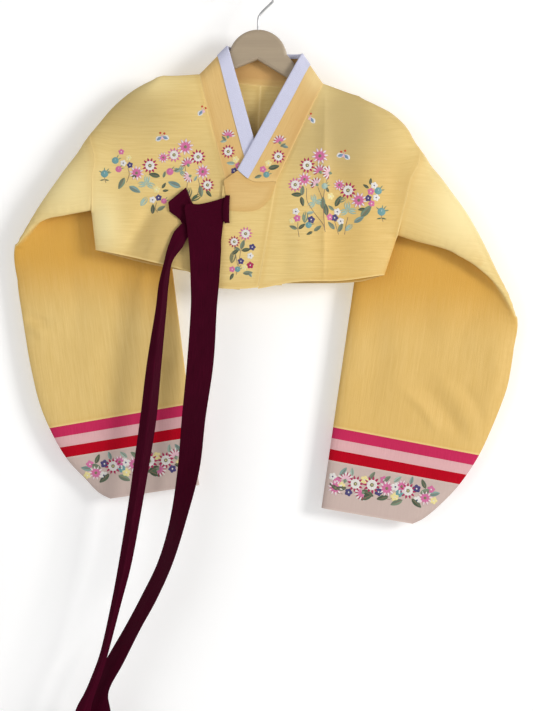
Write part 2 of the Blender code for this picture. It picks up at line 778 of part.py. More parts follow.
def make_dongjeong():
    """A strip folded over the collar's inner edge."""
    gap = CLOTH / 2 + SEAM + STRIP_CLOTH / 2
    quarter = math.pi / 4
    profile = [(DONGJEONG, gap), (DONGJEONG / 2, gap), (DONGJEONG_TURN, gap)]
    for turn in (quarter, 2 * quarter, 3 * quarter):
        profile.append((DONGJEONG_TURN - gap * math.sin(turn), gap * math.cos(turn)))
    profile += [(DONGJEONG_TURN, -gap), (DONGJEONG_INSIDE, -gap)]
    stations = git_stations()[DONGJEONG_HIDDEN:]
    grid = np.array(
        [[git_surface(*station, across) for across in GIT_ACROSS] for station in stations]
    )
    edge_path = grid[:, 0]
    rows = []
    for i, station in enumerate(stations):
        outer, inner = git_line(*station)
        width = math.dist(outer, inner)
        ahead = edge_path[min(i + 1, len(stations) - 1)] - edge_path[max(i - 1, 0)]
        across = grid[i, 1] - grid[i, 0]
        across = across / np.linalg.norm(across)
        out = np.cross(ahead, across)
        out = out / np.linalg.norm(out)
        row = []
        for inward, forward in profile:
            if inward > 0:
                base = np.array(git_surface(*station, inward / width))
            else:
                base = edge_path[i] + across * inward
            row.append(base + out * forward)
        rows.append(row)
    grid_sheet("dongjeong", rows, STRIP_CLOTH, SEAM_DRAW, WHITE_STRIP, flip=False)


# Front overlaps and the collar's head

def flat_sheet(name, corners, depth, flip):
    """A panel between a seam line and a free edge: top and bottom of each."""
    (seam_top, seam_foot), (edge_top, edge_foot) = corners
    rows = []
    for i in range(SEOP_ROWS + 1):
        left = between(seam_top, seam_foot, i / SEOP_ROWS)
        right = between(edge_top, edge_foot, i / SEOP_ROWS)
        row = []
        for j in range(SEOP_COLUMNS + 1):
            x, z = between(left, right, j / SEOP_COLUMNS)
            row.append((x, -depth, z))
        rows.append(row)
    grid_sheet(name, rows, CLOTH, SEAM_DRAW, YELLOW_CLOTH, flip)


def make_overlaps():
    inner_seam = (GIT_END_RIGHT[0], SEOP_INNER_FOOT)
    flat_sheet("seop_inner", (inner_seam, SEOP_INNER_EDGE), BODY_DEPTH, flip=False)
    outer_seam = (SEOP_TOP, SEOP_FOOT)
    flat_sheet("seop_outer", (outer_seam, SEOP_EDGE), BODY_DEPTH + OVERLAP_LIFT, flip=True)


def make_head():
    """The cup-shaped end of the collar, on the outer overlap."""
    top = [git_surface(FRONT, LEFT, 1, across) for across in GIT_ACROSS]
    outline = [(x, z - SEAM) for x, _, z in top] + list(HEAD_CUP)
    middle = -(BODY_DEPTH + OVERLAP_LIFT + LEFT.collar_raise)
    count = len(outline)
    vertices = [(x, middle - CLOTH / 2, z) for x, z in outline]
    vertices += [(x, middle + CLOTH / 2, z) for x, z in outline]
    faces = [tuple(range(count))[::-1], tuple(range(count, 2 * count))]
    for i in range(count):
        j = (i + 1) % count
        faces.append((i, j, j + count, i + count))
    add_solid("git_head", vertices, faces, COLLAR_CLOTH)


# Ribbons

def ribbon_rows(lines):
    """Rows of points across a ribbon, each from one edge to the other over a crest."""
    rows = []
    for start, end, crest in lines:
        row = []
        for j in range(RIBBON_COLUMNS + 1):
            share = j / RIBBON_COLUMNS
            x, y, z = between(start, end, share)
            row.append((x, y - crest * (1 - abs(2 * share - 1)), z))
        rows.append(row)
    return rows


def make_ribbons():
    lines = [
        ((upper_x, y, upper_z), (lower_x, y, lower_z), 0.0)
        for upper_x, upper_z, lower_x, lower_z, y in LONG_TAB
    ]
    for z, x, y, half, turn in LONG_RIBBON:
        lines.append(((x - half, y + turn, z), (x + half, y - turn, z), 0.0))
    grid_sheet("goreum_long", ribbon_rows(lines), RIBBON_CLOTH, 0, BURGUNDY_SATIN, flip=False)
    lines = [
        ((outer_x, outer_y, outer_z), (inner_x, inner_y, inner_z), 0.0)
        for outer_x, outer_z, outer_y, inner_x, inner_z, inner_y in SHORT_TAB
    ]
    for z, x, y, half, crest in SHORT_RIBBON:
        lines.append(((x - half, y, z), (x + half, y, z), crest))
    grid_sheet("goreum_short", ribbon_rows(lines), RIBBON_CLOTH, 0, BURGUNDY_SATIN, flip=False)


# Hanger

def tilted(point):
    turn = math.radians(HANGER_TILT)
    x, z = point
    return (
        NOTCH[0] + x * math.cos(turn) + z * math.sin(turn),
        NOTCH[1] - x * math.sin(turn) + z * math.cos(turn),
    )


def hanger_half():
    """Outline of one half of the hanger, from the notch along its underside to its top."""
    slope = math.tan(math.radians(NOTCH_SLOPE))
    elbow = (NOTCH_REACH, -slope * NOTCH_REACH)
    tip_x, tip_z = ARM_TOP[-1]
    radius = ARM_DEPTH / 2
    outline = [(0.0, 0.0), (NOTCH_REACH / 2, -slope * NOTCH_REACH / 2), elbow]
    for i in range(TIP_PARTS + 1):
        turn = math.pi * (i / TIP_PARTS - 0.5)
        outline.append((tip_x + radius * math.cos(turn), tip_z - radius + radius * math.sin(turn)))
    outline += [ARM_TOP[1], ARM_TOP[0]]
    return outline


def hanger_outline():
    """The whole outline, with the round head between the two halves."""
    half = hanger_half()
    start = math.atan2(HEAD_START_Z - HEAD_CENTRE[1], HEAD_RADIUS)
    head = []
    for i in range(HEAD_PARTS + 1):
        turn = start + (math.pi - 2 * start) * i / HEAD_PARTS
        x = HEAD_CENTRE[0] + HEAD_RADIUS * math.cos(turn)
        z = HEAD_CENTRE[1] + HEAD_RADIUS * math.sin(turn)
        head.append((x, z))
    mirrored = [(-x, z) for x, z in half[:0:-1]]
    return [tilted(point) for point in half + head + mirrored]


def make_wood():
    """A flat board of the outline with rounded edges and the socket for the hook."""
    outline = hanger_outline()
    shape = bmesh.new()
    front = [shape.verts.new((x, -HANGER_THICKNESS / 2, z)) for x, z in outline]
    back = [shape.verts.new((x, HANGER_THICKNESS / 2, z)) for x, z in outline]
    shape.faces.new(front)
    shape.faces.new(back[::-1])
    count = len(outline)
    for i in range(count):
        j = (i + 1) % count
        shape.faces.new((front[j], front[i], back[i], back[j]))
    bmesh.ops.recalc_face_normals(shape, faces=shape.faces)
    rims = [edge for edge in shape.edges if abs(edge.verts[0].co.y - edge.verts[1].co.y) < SEAM]
    bmesh.ops.bevel(
        shape, geom=rims, offset=HANGER_ROUNDING, segments=HANGER_ROUNDING_PARTS, profile=0.5,
        affect="EDGES", clamp_overlap=True,
    )  # fmt: skip
    bmesh.ops.triangulate(shape, faces=shape.faces)
    shape.verts.index_update()
    vertices = [tuple(vertex.co) for vertex in shape.verts]
    faces = [tuple(vertex.index for vertex in face.verts) for face in shape.faces]
    shape.free()
    drill_socket(add_solid("hanger_wood", vertices, faces, WOOD))


def drill_socket(wood):
    """Cuts the hole that the foot of the hook stands in."""
    drill = bmesh.new()
    bmesh.ops.create_cone(
        drill, cap_ends=True, segments=SOCKET_SIDES, radius1=SOCKET, radius2=SOCKET,
        depth=SOCKET_TOP - SOCKET_FLOOR,
    )  # fmt: skip
    middle = (HOOK_SHANK[0][0], 0, (SOCKET_TOP + SOCKET_FLOOR) / 2)
    bmesh.ops.translate(drill, verts=drill.verts, vec=middle)
    drill_mesh = bpy.data.meshes.new("socket")
    drill.to_mesh(drill_mesh)
    drill.free()
    cutter = bpy.data.objects.new("socket", drill_mesh)
    bpy.context.scene.collection.objects.link(cutter)
    cut = wood.modifiers.new("socket", "BOOLEAN")
    cut.operation = "DIFFERENCE"
    cut.solver = "EXACT"
    cut.object = cutter
    evaluated = wood.evaluated_get(bpy.context.evaluated_depsgraph_get())
    drilled = bpy.data.meshes.new_from_object(evaluated)
    wood.modifiers.remove(cut)
    wood.data = drilled
    bpy.data.objects.remove(cutter)


def hook_path():
    """Middle line of the wire, from its foot in the wood to its free end."""
    centre_z = WIRE + SEAM - HOOK_RADIUS
    path = list(HOOK_SHANK)
    turn = -HOOK_STEP / 2
    while turn <= HOOK_END:
        angle = math.radians(turn)
        path.append((HOOK_RADIUS * math.cos(angle), centre_z + HOOK_RADIUS * math.sin(angle)))
        turn += HOOK_STEP
    return path


def make_hook():
    path = hook_path()
    vertices = []
    for i, (x, z) in enumerate(path):
        before = path[max(i - 1, 0)]
        after = path[min(i + 1, len(path) - 1)]
        along = np.subtract(after, before)
        along = along / np.linalg.norm(along)
        for j in range(WIRE_SIDES):
            turn = 2 * math.pi * j / WIRE_SIDES
            side = WIRE * math.cos(turn)
            vertices.append((x - along[1] * side, WIRE * math.sin(turn), z + along[0] * side))
    faces = [tuple(range(WIRE_SIDES)), tuple(range(len(vertices) - WIRE_SIDES, len(vertices)))[::-1]]
    for i in range(len(path) - 1):
        for j in range(WIRE_SIDES):
            a = i * WIRE_SIDES + j
            b = i * WIRE_SIDES + (j + 1) % WIRE_SIDES
            faces.append((a, a + WIRE_SIDES, b + WIRE_SIDES, b))
    add_solid("hanger_hook", vertices, faces, STEEL)


def main():
    for old in list(bpy.data.objects):
        bpy.data.objects.remove(old)
    surfaces = {hang.side: half_surface(hang) for hang in (RIGHT, LEFT)}
    make_git(surfaces)
    make_half(RIGHT, surfaces["right"])
    make_half(LEFT, surfaces["left"])
    make_dongjeong()
    make_overlaps()
    make_head()
    make_ribbons()
    make_wood()
    make_hook()


main()
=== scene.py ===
"""Looks of the jeogori on its wooden hanger: smooth cloth with listed creases, embroidery,
satin ribbons, and finished materials, on the frame that the solids give.

Units are metres, +Z is up and the front faces -Y. Each half of the jacket is worked out flat in the
plane that it hangs in and folded back along a slanting line, as the solids are, on a finer grid.
Creases are added to the cloth's depth before it is folded.
"""

import json
import math
from collections import namedtuple

import bpy
import numpy as np
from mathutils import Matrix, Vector, noise
from mathutils.bvhtree import BVHTree
from mathutils.kdtree import KDTree

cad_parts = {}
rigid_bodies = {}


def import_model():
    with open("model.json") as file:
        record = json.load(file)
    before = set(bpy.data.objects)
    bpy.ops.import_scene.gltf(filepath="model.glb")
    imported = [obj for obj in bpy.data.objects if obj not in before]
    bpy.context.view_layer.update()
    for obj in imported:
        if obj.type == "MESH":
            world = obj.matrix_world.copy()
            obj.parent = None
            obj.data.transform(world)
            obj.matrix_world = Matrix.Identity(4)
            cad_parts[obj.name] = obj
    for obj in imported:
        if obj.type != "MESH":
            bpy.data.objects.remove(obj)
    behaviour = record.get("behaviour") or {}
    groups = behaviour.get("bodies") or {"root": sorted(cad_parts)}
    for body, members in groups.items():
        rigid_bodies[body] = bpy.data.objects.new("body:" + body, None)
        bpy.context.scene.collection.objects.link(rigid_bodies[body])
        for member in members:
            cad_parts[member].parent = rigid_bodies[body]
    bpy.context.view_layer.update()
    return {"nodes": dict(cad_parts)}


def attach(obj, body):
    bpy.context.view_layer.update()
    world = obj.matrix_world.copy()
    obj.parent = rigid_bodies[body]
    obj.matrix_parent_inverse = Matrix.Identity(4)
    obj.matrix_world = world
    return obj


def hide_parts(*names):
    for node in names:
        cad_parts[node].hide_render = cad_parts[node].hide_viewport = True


def mm(*rows):
    """Rows of millimetres as an array of metres."""
    return np.array(rows) / 1000


# Sizes with the solids' names. Some edges of the sleeves, the outer overlap and the ribbons are set
# closer to the photo than the solids are, by up to 10 mm.

CLOTH = 0.0012
STRIP_CLOTH = 0.0008
RIBBON_CLOTH = 0.0010
SEAM = 0.0003
BODY_DEPTH = 0.011
SLEEVE_DEPTH = 0.007
NARROW_FROM = 0.010
NARROW_WIDTH = 0.100
SHOULDER_ROUNDING = 0.018
SEAM_ROUNDING = 0.030
OVERLAP_LIFT = 0.0035
LIFT_DOWN = 0.080
LIFT_CENTRE = 0.060
LIFT_SIDE = 0.200
SLEEVE_LENGTH = 0.5645
CUFF = 0.0738
STRIPE = 0.0166
STRIPE_LEAN = 0.0102
CUFF_LEAN = 0.0035
STRIPES_START = SLEEVE_LENGTH - CUFF - 3 * STRIPE
FOLD_RADIUS = 0.0135
FOLD_HALF = 0.036

Hang = namedtuple(
    "Hang",
    "side sign neck neck_top shoulder armhole_top armhole_bottom hem_corner droop "
    "fold_point fold_lean collar_raise neck_column",
)
RIGHT = Hang(
    side="right",
    sign=-1,
    neck=(-0.0890, -0.1375),
    neck_top=(-0.0477, -0.0954),
    shoulder=(-0.1410, -0.1395),
    armhole_top=(-0.2489, -0.1302),
    armhole_bottom=(-0.2505, -0.3450),
    hem_corner=(-0.2445, -0.4005),
    droop=10.96,
    fold_point=(-0.2496, -0.2244),
    fold_lean=36.0,
    collar_raise=0.0004,
    neck_column=-0.0840,
)
LEFT = Hang(
    side="left",
    sign=1,
    neck=(0.0955, -0.1514),
    neck_top=(0.0648, -0.1070),
    shoulder=(0.1605, -0.1728),
    armhole_top=(0.2538, -0.1819),
    armhole_bottom=(0.2055, -0.3840),
    hem_corner=(0.1875, -0.4380),
    droop=17.56,
    fold_point=(0.2334, -0.2360),
    fold_lean=32.1,
    collar_raise=CLOTH + SEAM,
    neck_column=0.0640,
)
FOLD_EDGE = {
    # down the fold line, outside it
    "right": mm(
        (-122, -23.5), (-71, -5.5), (-28, 1.5), (79, 3), (160, 1), (188, 0), (205, -2.5),
    ),
    "left": mm(
        (-92, -28), (-69, -13), (-45, -3), (-19, 2.8), (11, 1), (74, 6.4), (146, 10), (235, 2.8),
        (270, 0.8), (292, -2.8), (306, -7.5),
    ),
}  # fmt: skip
BAERAE = mm(
    # along, right, left
    (45, 206, 201), (98, 206.5, 199.5), (130, 212.5, 209), (150, 220.5, 217), (165, 226.5, 222.5),
    (189, 230, 232.5), (214, 233, 245), (235, 234.5, 250.2), (273, 233.5, 252.2),
    (318, 232, 252.4), (350, 230.5, 250), (410, 224, 236), (455, 212, 222), (500, 193, 200),
    (535, 168, 175), (558, 150, 154), (570, 132, 136),
)  # fmt: skip
FRONT_HEM = mm(
    (-244.5, -400.5), (-176, -415), (-103, -434.5), (-48, -457.5), (-10, -460), (55, -449),
    (124.5, -447), (187.5, -438),
)  # fmt: skip
BACK_HEM = mm(
    (-244.5, -400.5), (-176, -418.5), (-103, -433), (-14, -448), (86, -450), (150, -447.8),
    (187.5, -438),
)  # fmt: skip
GIT_END_RIGHT = ((-0.0413, -0.3330), (0.0186, -0.3330))
GIT_END_LEFT = ((0.0256, -0.2985), (-0.0315, -0.2822))
GIT_POINT = ((0.00, 0.0000), (0.35, 0.0086), (0.55, 0.0095), (1.00, 0.0000))
NECK_DIP = 0.008
NECK_TOP_DIP = 0.003
CENTRE_BACK = 0.495
DONGJEONG = 0.020
DONGJEONG_INSIDE = 0.006
DONGJEONG_TURN = 0.0003
DONGJEONG_BARE = 0.30  # share of the right leg, at its hidden end, that the strip leaves bare
SEOP_TOP = (0.0252, -0.3020)
SEOP_FOOT = (-0.0015, -0.4572)
SEOP_EDGE = ((-0.0540, -0.3050), (-0.0650, -0.4580))
SEOP_INNER_FOOT = (-0.0285, -0.4590)
SEOP_INNER_EDGE = ((0.0190, -0.3335), (0.0345, -0.4540))
CENTRE_BACK_FOOT = -0.0140
HEAD_CUP = mm(
    (22.5, -308), (17.8, -320), (11.5, -330), (3.5, -338), (-8, -342.5), (-22, -343.5),
    (-46.5, -342),
)  # fmt: skip
HEAD_SIDE = (-0.0525, -0.2975)
ARMHOLE_SHARE = 0.79
LEG_SHARES = (0, 0.012, 0.035, 0.075, 0.15, 0.30, 0.50, 0.75, 1)
BACK_SHARES = (0, 0.026, 0.075, 0.15, 0.28, 0.45, 0.62, 0.80, 1)
NECK = 8
ARMHOLE = 19
LONG_TAB = mm(
    # upper_x, upper_z, lower_x, lower_z, y
    (-44.5, -320.5, -52.8, -356.6, -17.6), (-66, -327.8, -53.8, -365, -18),
    (-88.5, -333, -55, -376, -19), (-109.5, -334.5, -56, -386, -20.5),
    (-108, -360, -56.2, -394.5, -22.5),
)  # fmt: skip
LONG_RIBBON = mm(
    # z, x, y, half_width, turn
    (-405, -80, -22.5, 23.7, 0), (-450, -80.5, -23, 21.3, 1.5), (-490.5, -82.2, -23.5, 19.5, 3.5),
    (-570, -87.4, -23, 19.9, 4), (-652.5, -97.3, -22.5, 17.8, 7.5),
    (-727.5, -104.8, -22, 16.5, 10.5), (-803, -120.3, -22, 12.3, 14),
    (-865.5, -138.9, -21, 11.3, 15), (-919.5, -163.7, -20, 12.3, 14), (-964.5, -188, -19, 12, 13),
    (-1015.5, -215.5, -18, 14, 11), (-1058, -237, -17, 13.5, 10), (-1092, -242, -16.5, 21.5, 7),
    (-1135, -245, -16.5, 23.5, 5), (-1185, -249, -16.5, 24, 4),
)  # fmt: skip
SHORT_TAB = mm(
    # outer_x, outer_z, outer_y, inner_x, inner_z, inner_y
    (-85, -348, -12.8, -85, -364, -12.8), (-100, -330, -13.8, -94, -362, -13.4),
    (-109.2, -308, -16, -100, -360.5, -13.8), (-121, -318, -17.8, -102, -360.5, -14.2),
    (-135.2, -330, -18.4, -104, -362, -14.8), (-133.5, -344, -17.6, -105.2, -365, -15.2),
    (-121.2, -348, -17.2, -105.6, -370, -16), (-115.2, -361.5, -17.8, -105, -380, -16.8),
    (-126.2, -373.5, -18.5, -108, -386, -18),
)  # fmt: skip
SHORT_RIBBON = mm(
    # z, x, y, half_width, crest
    (-397.5, -124.9, -19.5, 10.9, 3), (-419, -135.2, -19.5, 6, 4.5), (-453, -142, -19.5, 7.3, 6),
    (-490.5, -146, -19.5, 8, 6), (-570, -156, -20, 10.8, 7), (-650, -164.5, -20.5, 12, 8),
    (-715.5, -174, -21, 11.4, 8), (-778.5, -183.7, -22, 10.4, 8), (-865.5, -198.6, -24, 9.5, 8),
    (-927, -212, -29, 7.2, 7), (-996, -228.4, -35, 5.8, 6), (-1035, -241, -38, 7, 5),
    (-1060, -251, -37.5, 8, 5), (-1083, -260, -36.5, 11, 5), (-1125, -268, -35.5, 15, 4.5),
    (-1170, -272, -35.5, 16, 4),
)  # fmt: skip

# Sizes that only the looks have

SEAM_DRAW = 0.00003  # how far a seam draws the cloth's edge in
PIPING = 0.00035  # how far a seam stands proud of the cloth beside it
PIPING_WIDTH = 0.0013
RIM_WIDTH = 0.0075  # of the seam allowance that shows through
SHOULDER_RISE = 0.0060  # of the left top edge where it turns over
SEAM_SET_IN = 0.0085  # of the right armhole seam, where the rounded fold would carry it outwards
OVERLAP_BOW = 0.0018  # of the overlaps' free edges
CROWN = 0.0005  # of the collar between its edges
GIT_WIDTH = 0.055  # for its weave
SOFT_TOP = 0.025  # creases grow over this far below the top edge
SOFT_SEAM = 0.020  # and over this far from a seam
STIFFER_CUFF = 0.6  # share of the creases that the stripes and the cuff take away
CREASE_ENDS = 0.3  # share of a crease, at each end, over which it fades
CREASE_LEAST = 0.15  # share of its height that is left at its ends
PUCKER = 0.0008  # of the sleeve beside its underarm seam
PUCKER_LENGTH = 0.0125
RIBBON_WAVE = 0.0007
SHARP_FOLD = 0.0005  # how far the long ribbon's edge stands out where it is folded down
CRUMPLE = 0.0012  # of the short ribbon at the knot
FOLDED_END = mm(
    # z, x, half_width
    (-320, -46.5, 3), (-331, -48.5, 4.4), (-345, -49, 4.6), (-356, -48.8, 4.4), (-361.5, -47, 3),
)  # fmt: skip
FOLDED_END_Y = -0.0199
FOLDED_END_ROUND = 0.0012
SHADED_FOLD_LINE = mm((-163.5, -346.5), (-201, -408))  # where the right front turns from the light, the edge of its painted shade
LEFT_UNDER = 0.42  # least strength of the painted shade and warm glow on the sleeves' sides that lie under the body
RIGHT_UNDER = 0.20
UNDER_REACH = 0.110  # below the hem, over which that painted shade fades to its least
BACK_INSIDE = (0.002, 0.0145)  # y between which the inside of the back lies
ZONES_DEEPEST = 0.012
# Painted shade: zones of the cloth that faces forward, made darker and greener where it turns from
# the light
PAINTED_SHADE_ZONES = (
    # x, z, half_width, half_height, strength
    (-0.186, -0.190, 0.050, 0.044, 0.80),
    (0.132, -0.192, 0.058, 0.060, 1.00),
    (0.128, -0.262, 0.056, 0.055, 0.55),
    (0.064, -0.245, 0.032, 0.050, 0.45),
    (-0.060, -0.270, 0.035, 0.060, 0.35),
)
# Painted light: zones of the cloth that faces forward, made paler where it faces the light
PAINTED_LIGHT_ZONES = (
    (0.310, -0.335, 0.065, 0.080, 1.00),
    (-0.295, -0.305, 0.055, 0.060, 0.75),
    (-0.232, -0.365, 0.026, 0.040, 0.85),
    (-0.150, -0.150, 0.040, 0.020, 0.50),
    (0.090, -0.140, 0.022, 0.030, 0.50),
)
CAMERA_AWAY = 3.0
PICTURE_MIDDLE = (0.01125, -0.55875)
PICTURE_WIDTH = 0.7995  # at the hanging plane
WALL_Y = 0.052
FLOOR_Z = -1.30
STAGE_REACH = 4.0  # to each side

# Creases: height, width, and x, z of three points as the cloth hangs. A ridge has a height above 0
# and a trough one below it, and a crease fades out towards its two ends.
FRONT_LEFT_CREASES = mm(
    (1.2, 2.6, 98.5, -130, 97.5, -300, 96.5, -480),
    (3, 9, 96, -170, 96.5, -290, 97, -440),
    (-3, 26, 118, -170, 120, -300, 118, -445),
    (4, 23, 156, -230, 164, -330, 152, -445),
    (-2.6, 16, 235, -200, 208, -280, 190, -360),
    (2.2, 25, 64, -210, 60, -300, 55, -440),
    (-2, 14, 35, -350, 42, -400, 35, -455),
    (-2, 14, 295, -215, 270, -260, 235, -310),
    (1.6, 12, 265, -200, 248, -250, 225, -300),
)
FRONT_RIGHT_CREASES = mm(
    (-4.6, 12, -153, -320, -174.5, -360, -201, -406),
    (4.6, 22, -123, -325, -142, -370, -156, -425),
    (1.6, 7, -150, -375, -162, -400, -168, -425),
    (2.2, 24, -125, -180, -95, -215, -75, -260),
    (-1.8, 20, -180, -150, -165, -210, -190, -270),
    (-2, 17, -230, -210, -208, -290, -215, -370),
    (1.4, 14, -225, -330, -220, -370, -210, -415),
    (-1.4, 14, -65, -370, -85, -410, -90, -440),
    (-2, 14, -300, -165, -280, -220, -265, -290),
    (1.6, 12, -270, -150, -260, -210, -250, -270),
)
BACK_CREASES = mm(
    (-2.4, 17, 220, -210, 195, -290, 170, -380),
    (1.8, 17, 165, -200, 145, -290, 150, -430),
    (-2, 20, 75, -190, 85, -310, 60, -440),
    (1.6, 22, 30, -200, 25, -300, 35, -400),
    (-1.8, 18, -60, -170, -50, -270, -70, -390),
    (2, 19, -115, -180, -125, -290, -105, -430),
    (-2.4, 16, -205, -170, -185, -250, -195, -390),
)
LOWER_LEFT_CREASES = mm(
    # on the side that faces forward
    (-3, 11, 238, -595, 278, -642, 316, -692),
    (2.2, 12, 260, -575, 300, -628, 330, -680),
    (-1.7, 18, 345, -460, 310, -520, 290, -590),
    (1.5, 20, 200, -465, 215, -560, 195, -660),
    (-1.5, 18, 170, -470, 178, -570, 160, -650),
    (-1.4, 17, 255, -450, 250, -500, 265, -560),
    (2.4, 7, 210, -605, 245, -635, 275, -680),
    (-1.8, 8, 305, -600, 330, -635, 340, -670),
    (1.8, 15, 355, -520, 360, -580, 345, -640),
    (-1.6, 13, 160, -670, 190, -700, 225, -715),
)
LOWER_RIGHT_CREASES = mm(
    (-2.6, 11, -108, -515, -127, -545, -148, -575),
    (2, 11, -115, -560, -135, -585, -160, -610),
    (-2.4, 16, -215, -440, -200, -520, -215, -600),
    (2.2, 18, -170, -440, -165, -530, -180, -630),
    (-2, 15, -290, -420, -275, -480, -285, -550),
    (-3.6, 7, -362, -502, -342, -504, -315, -513),
    (2.4, 8, -360, -517, -340, -520, -315, -529),
    (1.6, 16, -250, -520, -255, -590, -240, -640),
)
BEHIND_LEFT_CREASES = mm(
    # on the side that faces the wall
    (-2.4, 15, 330, -420, 290, -500, 270, -610),
    (2, 17, 250, -360, 230, -470, 240, -600),
    (-2.2, 16, 190, -450, 200, -560, 180, -680),
    (1.8, 14, 350, -520, 320, -600, 310, -670),
)
BEHIND_RIGHT_CREASES = mm(
    (-2.4, 15, -310, -400, -280, -490, -285, -590),
    (2, 17, -230, -360, -220, -470, -240, -600),
    (-2.2, 15, -160, -430, -170, -530, -150, -630),
)


def eased(share):
    share = np.clip(share, 0.0, 1.0)
    return share * share * (3 - 2 * share)


def rounded(distance, reach):
    share = np.clip(np.asarray(distance) / reach, 0.0, 1.0)
    return np.sqrt(1 - (1 - share) ** 2)


def between(a, b, share):
    a = np.asarray(a, float)
    return a + (np.asarray(b, float) - a) * np.asarray(share, float)[..., None]


def curve_value(rows, at, column=1):
    """A table's column at values of its first one, on a smooth curve through the rows."""
    keys = np.array([row[0] for row in rows], float)
    values = np.array([row[column] for row in rows], float)
    if keys[0] > keys[-1]:
        keys, values = keys[::-1], values[::-1]
    at = np.clip(at, keys[0], keys[-1])
    i = np.clip(np.searchsorted(keys, at, side="right") - 1, 0, len(keys) - 2)
    span = keys[i + 1] - keys[i]
    share = (at - keys[i]) / span

    def slope(j):
        low, high = np.maximum(j - 1, 0), np.minimum(j + 1, len(keys) - 1)
        return (values[high] - values[low]) / (keys[high] - keys[low]) * span

    start, end = slope(i), slope(i + 1)
    rise = values[i + 1] - values[i]
    curve = 3 * rise - 2 * start - end + share * (start + end - 2 * rise)
    return values[i] + share * (start + share * curve)


def through(controls, per_span, straight=0):
    """Rows on a curve through rows of numbers, smooth except for straight spans at its start."""
    controls = np.asarray(controls, float)
    keys = np.arange(len(controls))
    at = np.linspace(0, keys[-1], keys[-1] * per_span + 1)
    table = np.column_stack((keys, controls))
    smooth = [curve_value(table, at, column + 1) for column in range(controls.shape[1])]
    plain = [np.interp(at, keys, column) for column in controls.T]
    return at, np.where((at < straight)[:, None], np.column_stack(plain), np.column_stack(smooth))


def nearest_share(points, a, b):
    """The share of the way from a to b that is nearest to each point, and how far away it is."""
    ab = np.subtract(b, a)
    share = np.clip((points - np.asarray(a)) @ ab / (ab @ ab), 0, 1)
    return share, np.linalg.norm(points - between(a, b, share), axis=-1)


def segment_distance(points, a, b):
    return nearest_share(points, a, b)[1]


def unit(vectors):
    """Vectors made 1 long; a zero vector stays as it is."""
    lengths = np.linalg.norm(vectors, axis=-1, keepdims=True)
    return vectors / np.where(lengths == 0, 1, lengths)


def turned_left(vectors):
    """Vectors of the hanging plane, a quarter turn to the left."""
    return np.stack((-vectors[..., 1], vectors[..., 0]), axis=-1)


def runs_along(points):
    """Distance from the first of some points to each, along the line through them."""
    return np.concatenate(([0], np.cumsum(np.linalg.norm(np.diff(points, axis=0), axis=1))))


def resampled(points, shares):
    """Points at shares of the length of the line through some points."""
    runs = runs_along(points)
    return np.column_stack([np.interp(shares * runs[-1], runs, column) for column in points.T])


def paired(a, b):
    return np.stack(np.broadcast_arrays(a, b), axis=-1)


def crease_relief(points, creases):
    """Sum of soft ridges and troughs at points of the hanging plane."""
    total = np.zeros(len(points))
    for height, width, *path in creases:
        path = np.reshape(path, (-1, 2))
        starts = runs_along(path)
        nearest = np.full(len(points), np.inf)
        place = np.zeros(len(points))
        for i, length in enumerate(np.diff(starts)):
            share, away = nearest_share(points, path[i], path[i + 1])
            place = np.where(away < nearest, (starts[i] + share * length) / starts[-1], place)
            nearest = np.minimum(away, nearest)
        fade = eased(place / CREASE_ENDS) * eased((1 - place) / CREASE_ENDS)
        share = CREASE_LEAST + (1 - CREASE_LEAST) * fade
        total += height * np.exp(-((nearest / width) ** 2)) * share
    return total


def unevenness(points, seed):
    """Slight slackness of hanging cloth in broad and small waves, the same each run."""
    total = np.zeros(len(points))
    for across, down, height, shift in ((14, 9, 0.0011, 0), (38, 26, 0.00035, 7)):
        places = [Vector((x * across, z * down, seed + shift)) for x, z in points]
        total += np.array([noise.noise(place) for place in places]) * height
    return total


# Surface of one half


def fold_axes(hang):
    """Down the fold line, and outward from it."""
    lean = math.radians(hang.fold_lean)
    down = np.array((hang.sign * math.sin(lean), -math.cos(lean)))
    return down, turned_left(down) * hang.sign


def past_fold(hang, points):
    """How far points of the flat cloth lie outside the fold line."""
    return (points - hang.fold_point) @ fold_axes(hang)[1]


def full_depth(hang, points):
    share = eased((-past_fold(hang, points) - NARROW_FROM) / NARROW_WIDTH)
    return SLEEVE_DEPTH + (BODY_DEPTH - SLEEVE_DEPTH) * share


def cloth_depth(hang, points, below_top, from_seam):
    return (
        full_depth(hang, points)
        * rounded(below_top, SHOULDER_ROUNDING)
        * rounded(from_seam, SEAM_ROUNDING)
    )


def overlap_lift(hang, points, below_top):
    if hang.sign < 0:
        return np.zeros(len(points))
    across = eased((LIFT_SIDE - points[:, 0]) / (LIFT_SIDE - LIFT_CENTRE))
    return OVERLAP_LIFT * across * eased(below_top / LIFT_DOWN)


def turned_back(hang, points):
    """Where points of the flat cloth beyond the fold hang, and the other way round."""
    return points - 2 * past_fold(hang, points)[:, None] * fold_axes(hang)[1]


def folded(hang, points, forward):
    """Points of the hanging plane, a distance forward of it, after the sleeve is folded back."""
    down, outward = fold_axes(hang)
    along, out = (points - hang.fold_point) @ down, past_fold(hang, points)
    rows = FOLD_EDGE[hang.side]
    nearest_end = np.minimum(along - rows[0, 0], rows[-1, 0] - along)
    depth = SLEEVE_DEPTH * rounded(nearest_end, SEAM_ROUNDING) + CLOTH / 2
    reach = FOLD_HALF + curve_value(rows, along) - depth
    turn = np.clip(math.pi * (out + FOLD_HALF) / (2 * FOLD_HALF), 0, math.pi)
    level = -FOLD_HALF + (reach + forward) * np.sin(turn)
    y = FOLD_RADIUS - (FOLD_RADIUS + forward) * np.cos(turn)
    sides = (out <= -FOLD_HALF, out >= FOLD_HALF)
    level = np.select(sides, (out, -out), level)
    y = np.select(sides, (-forward, 2 * FOLD_RADIUS + forward), y)
    flat = hang.fold_point + along[:, None] * down + level[:, None] * outward
    return np.column_stack((flat[:, 0], y, flat[:, 1]))


def neck_seam(share, depth_of_dip, ends):
    point = between(ends[0], ends[1], share)
    point[..., 1] -= depth_of_dip * 4 * share * (1 - share)
    return point


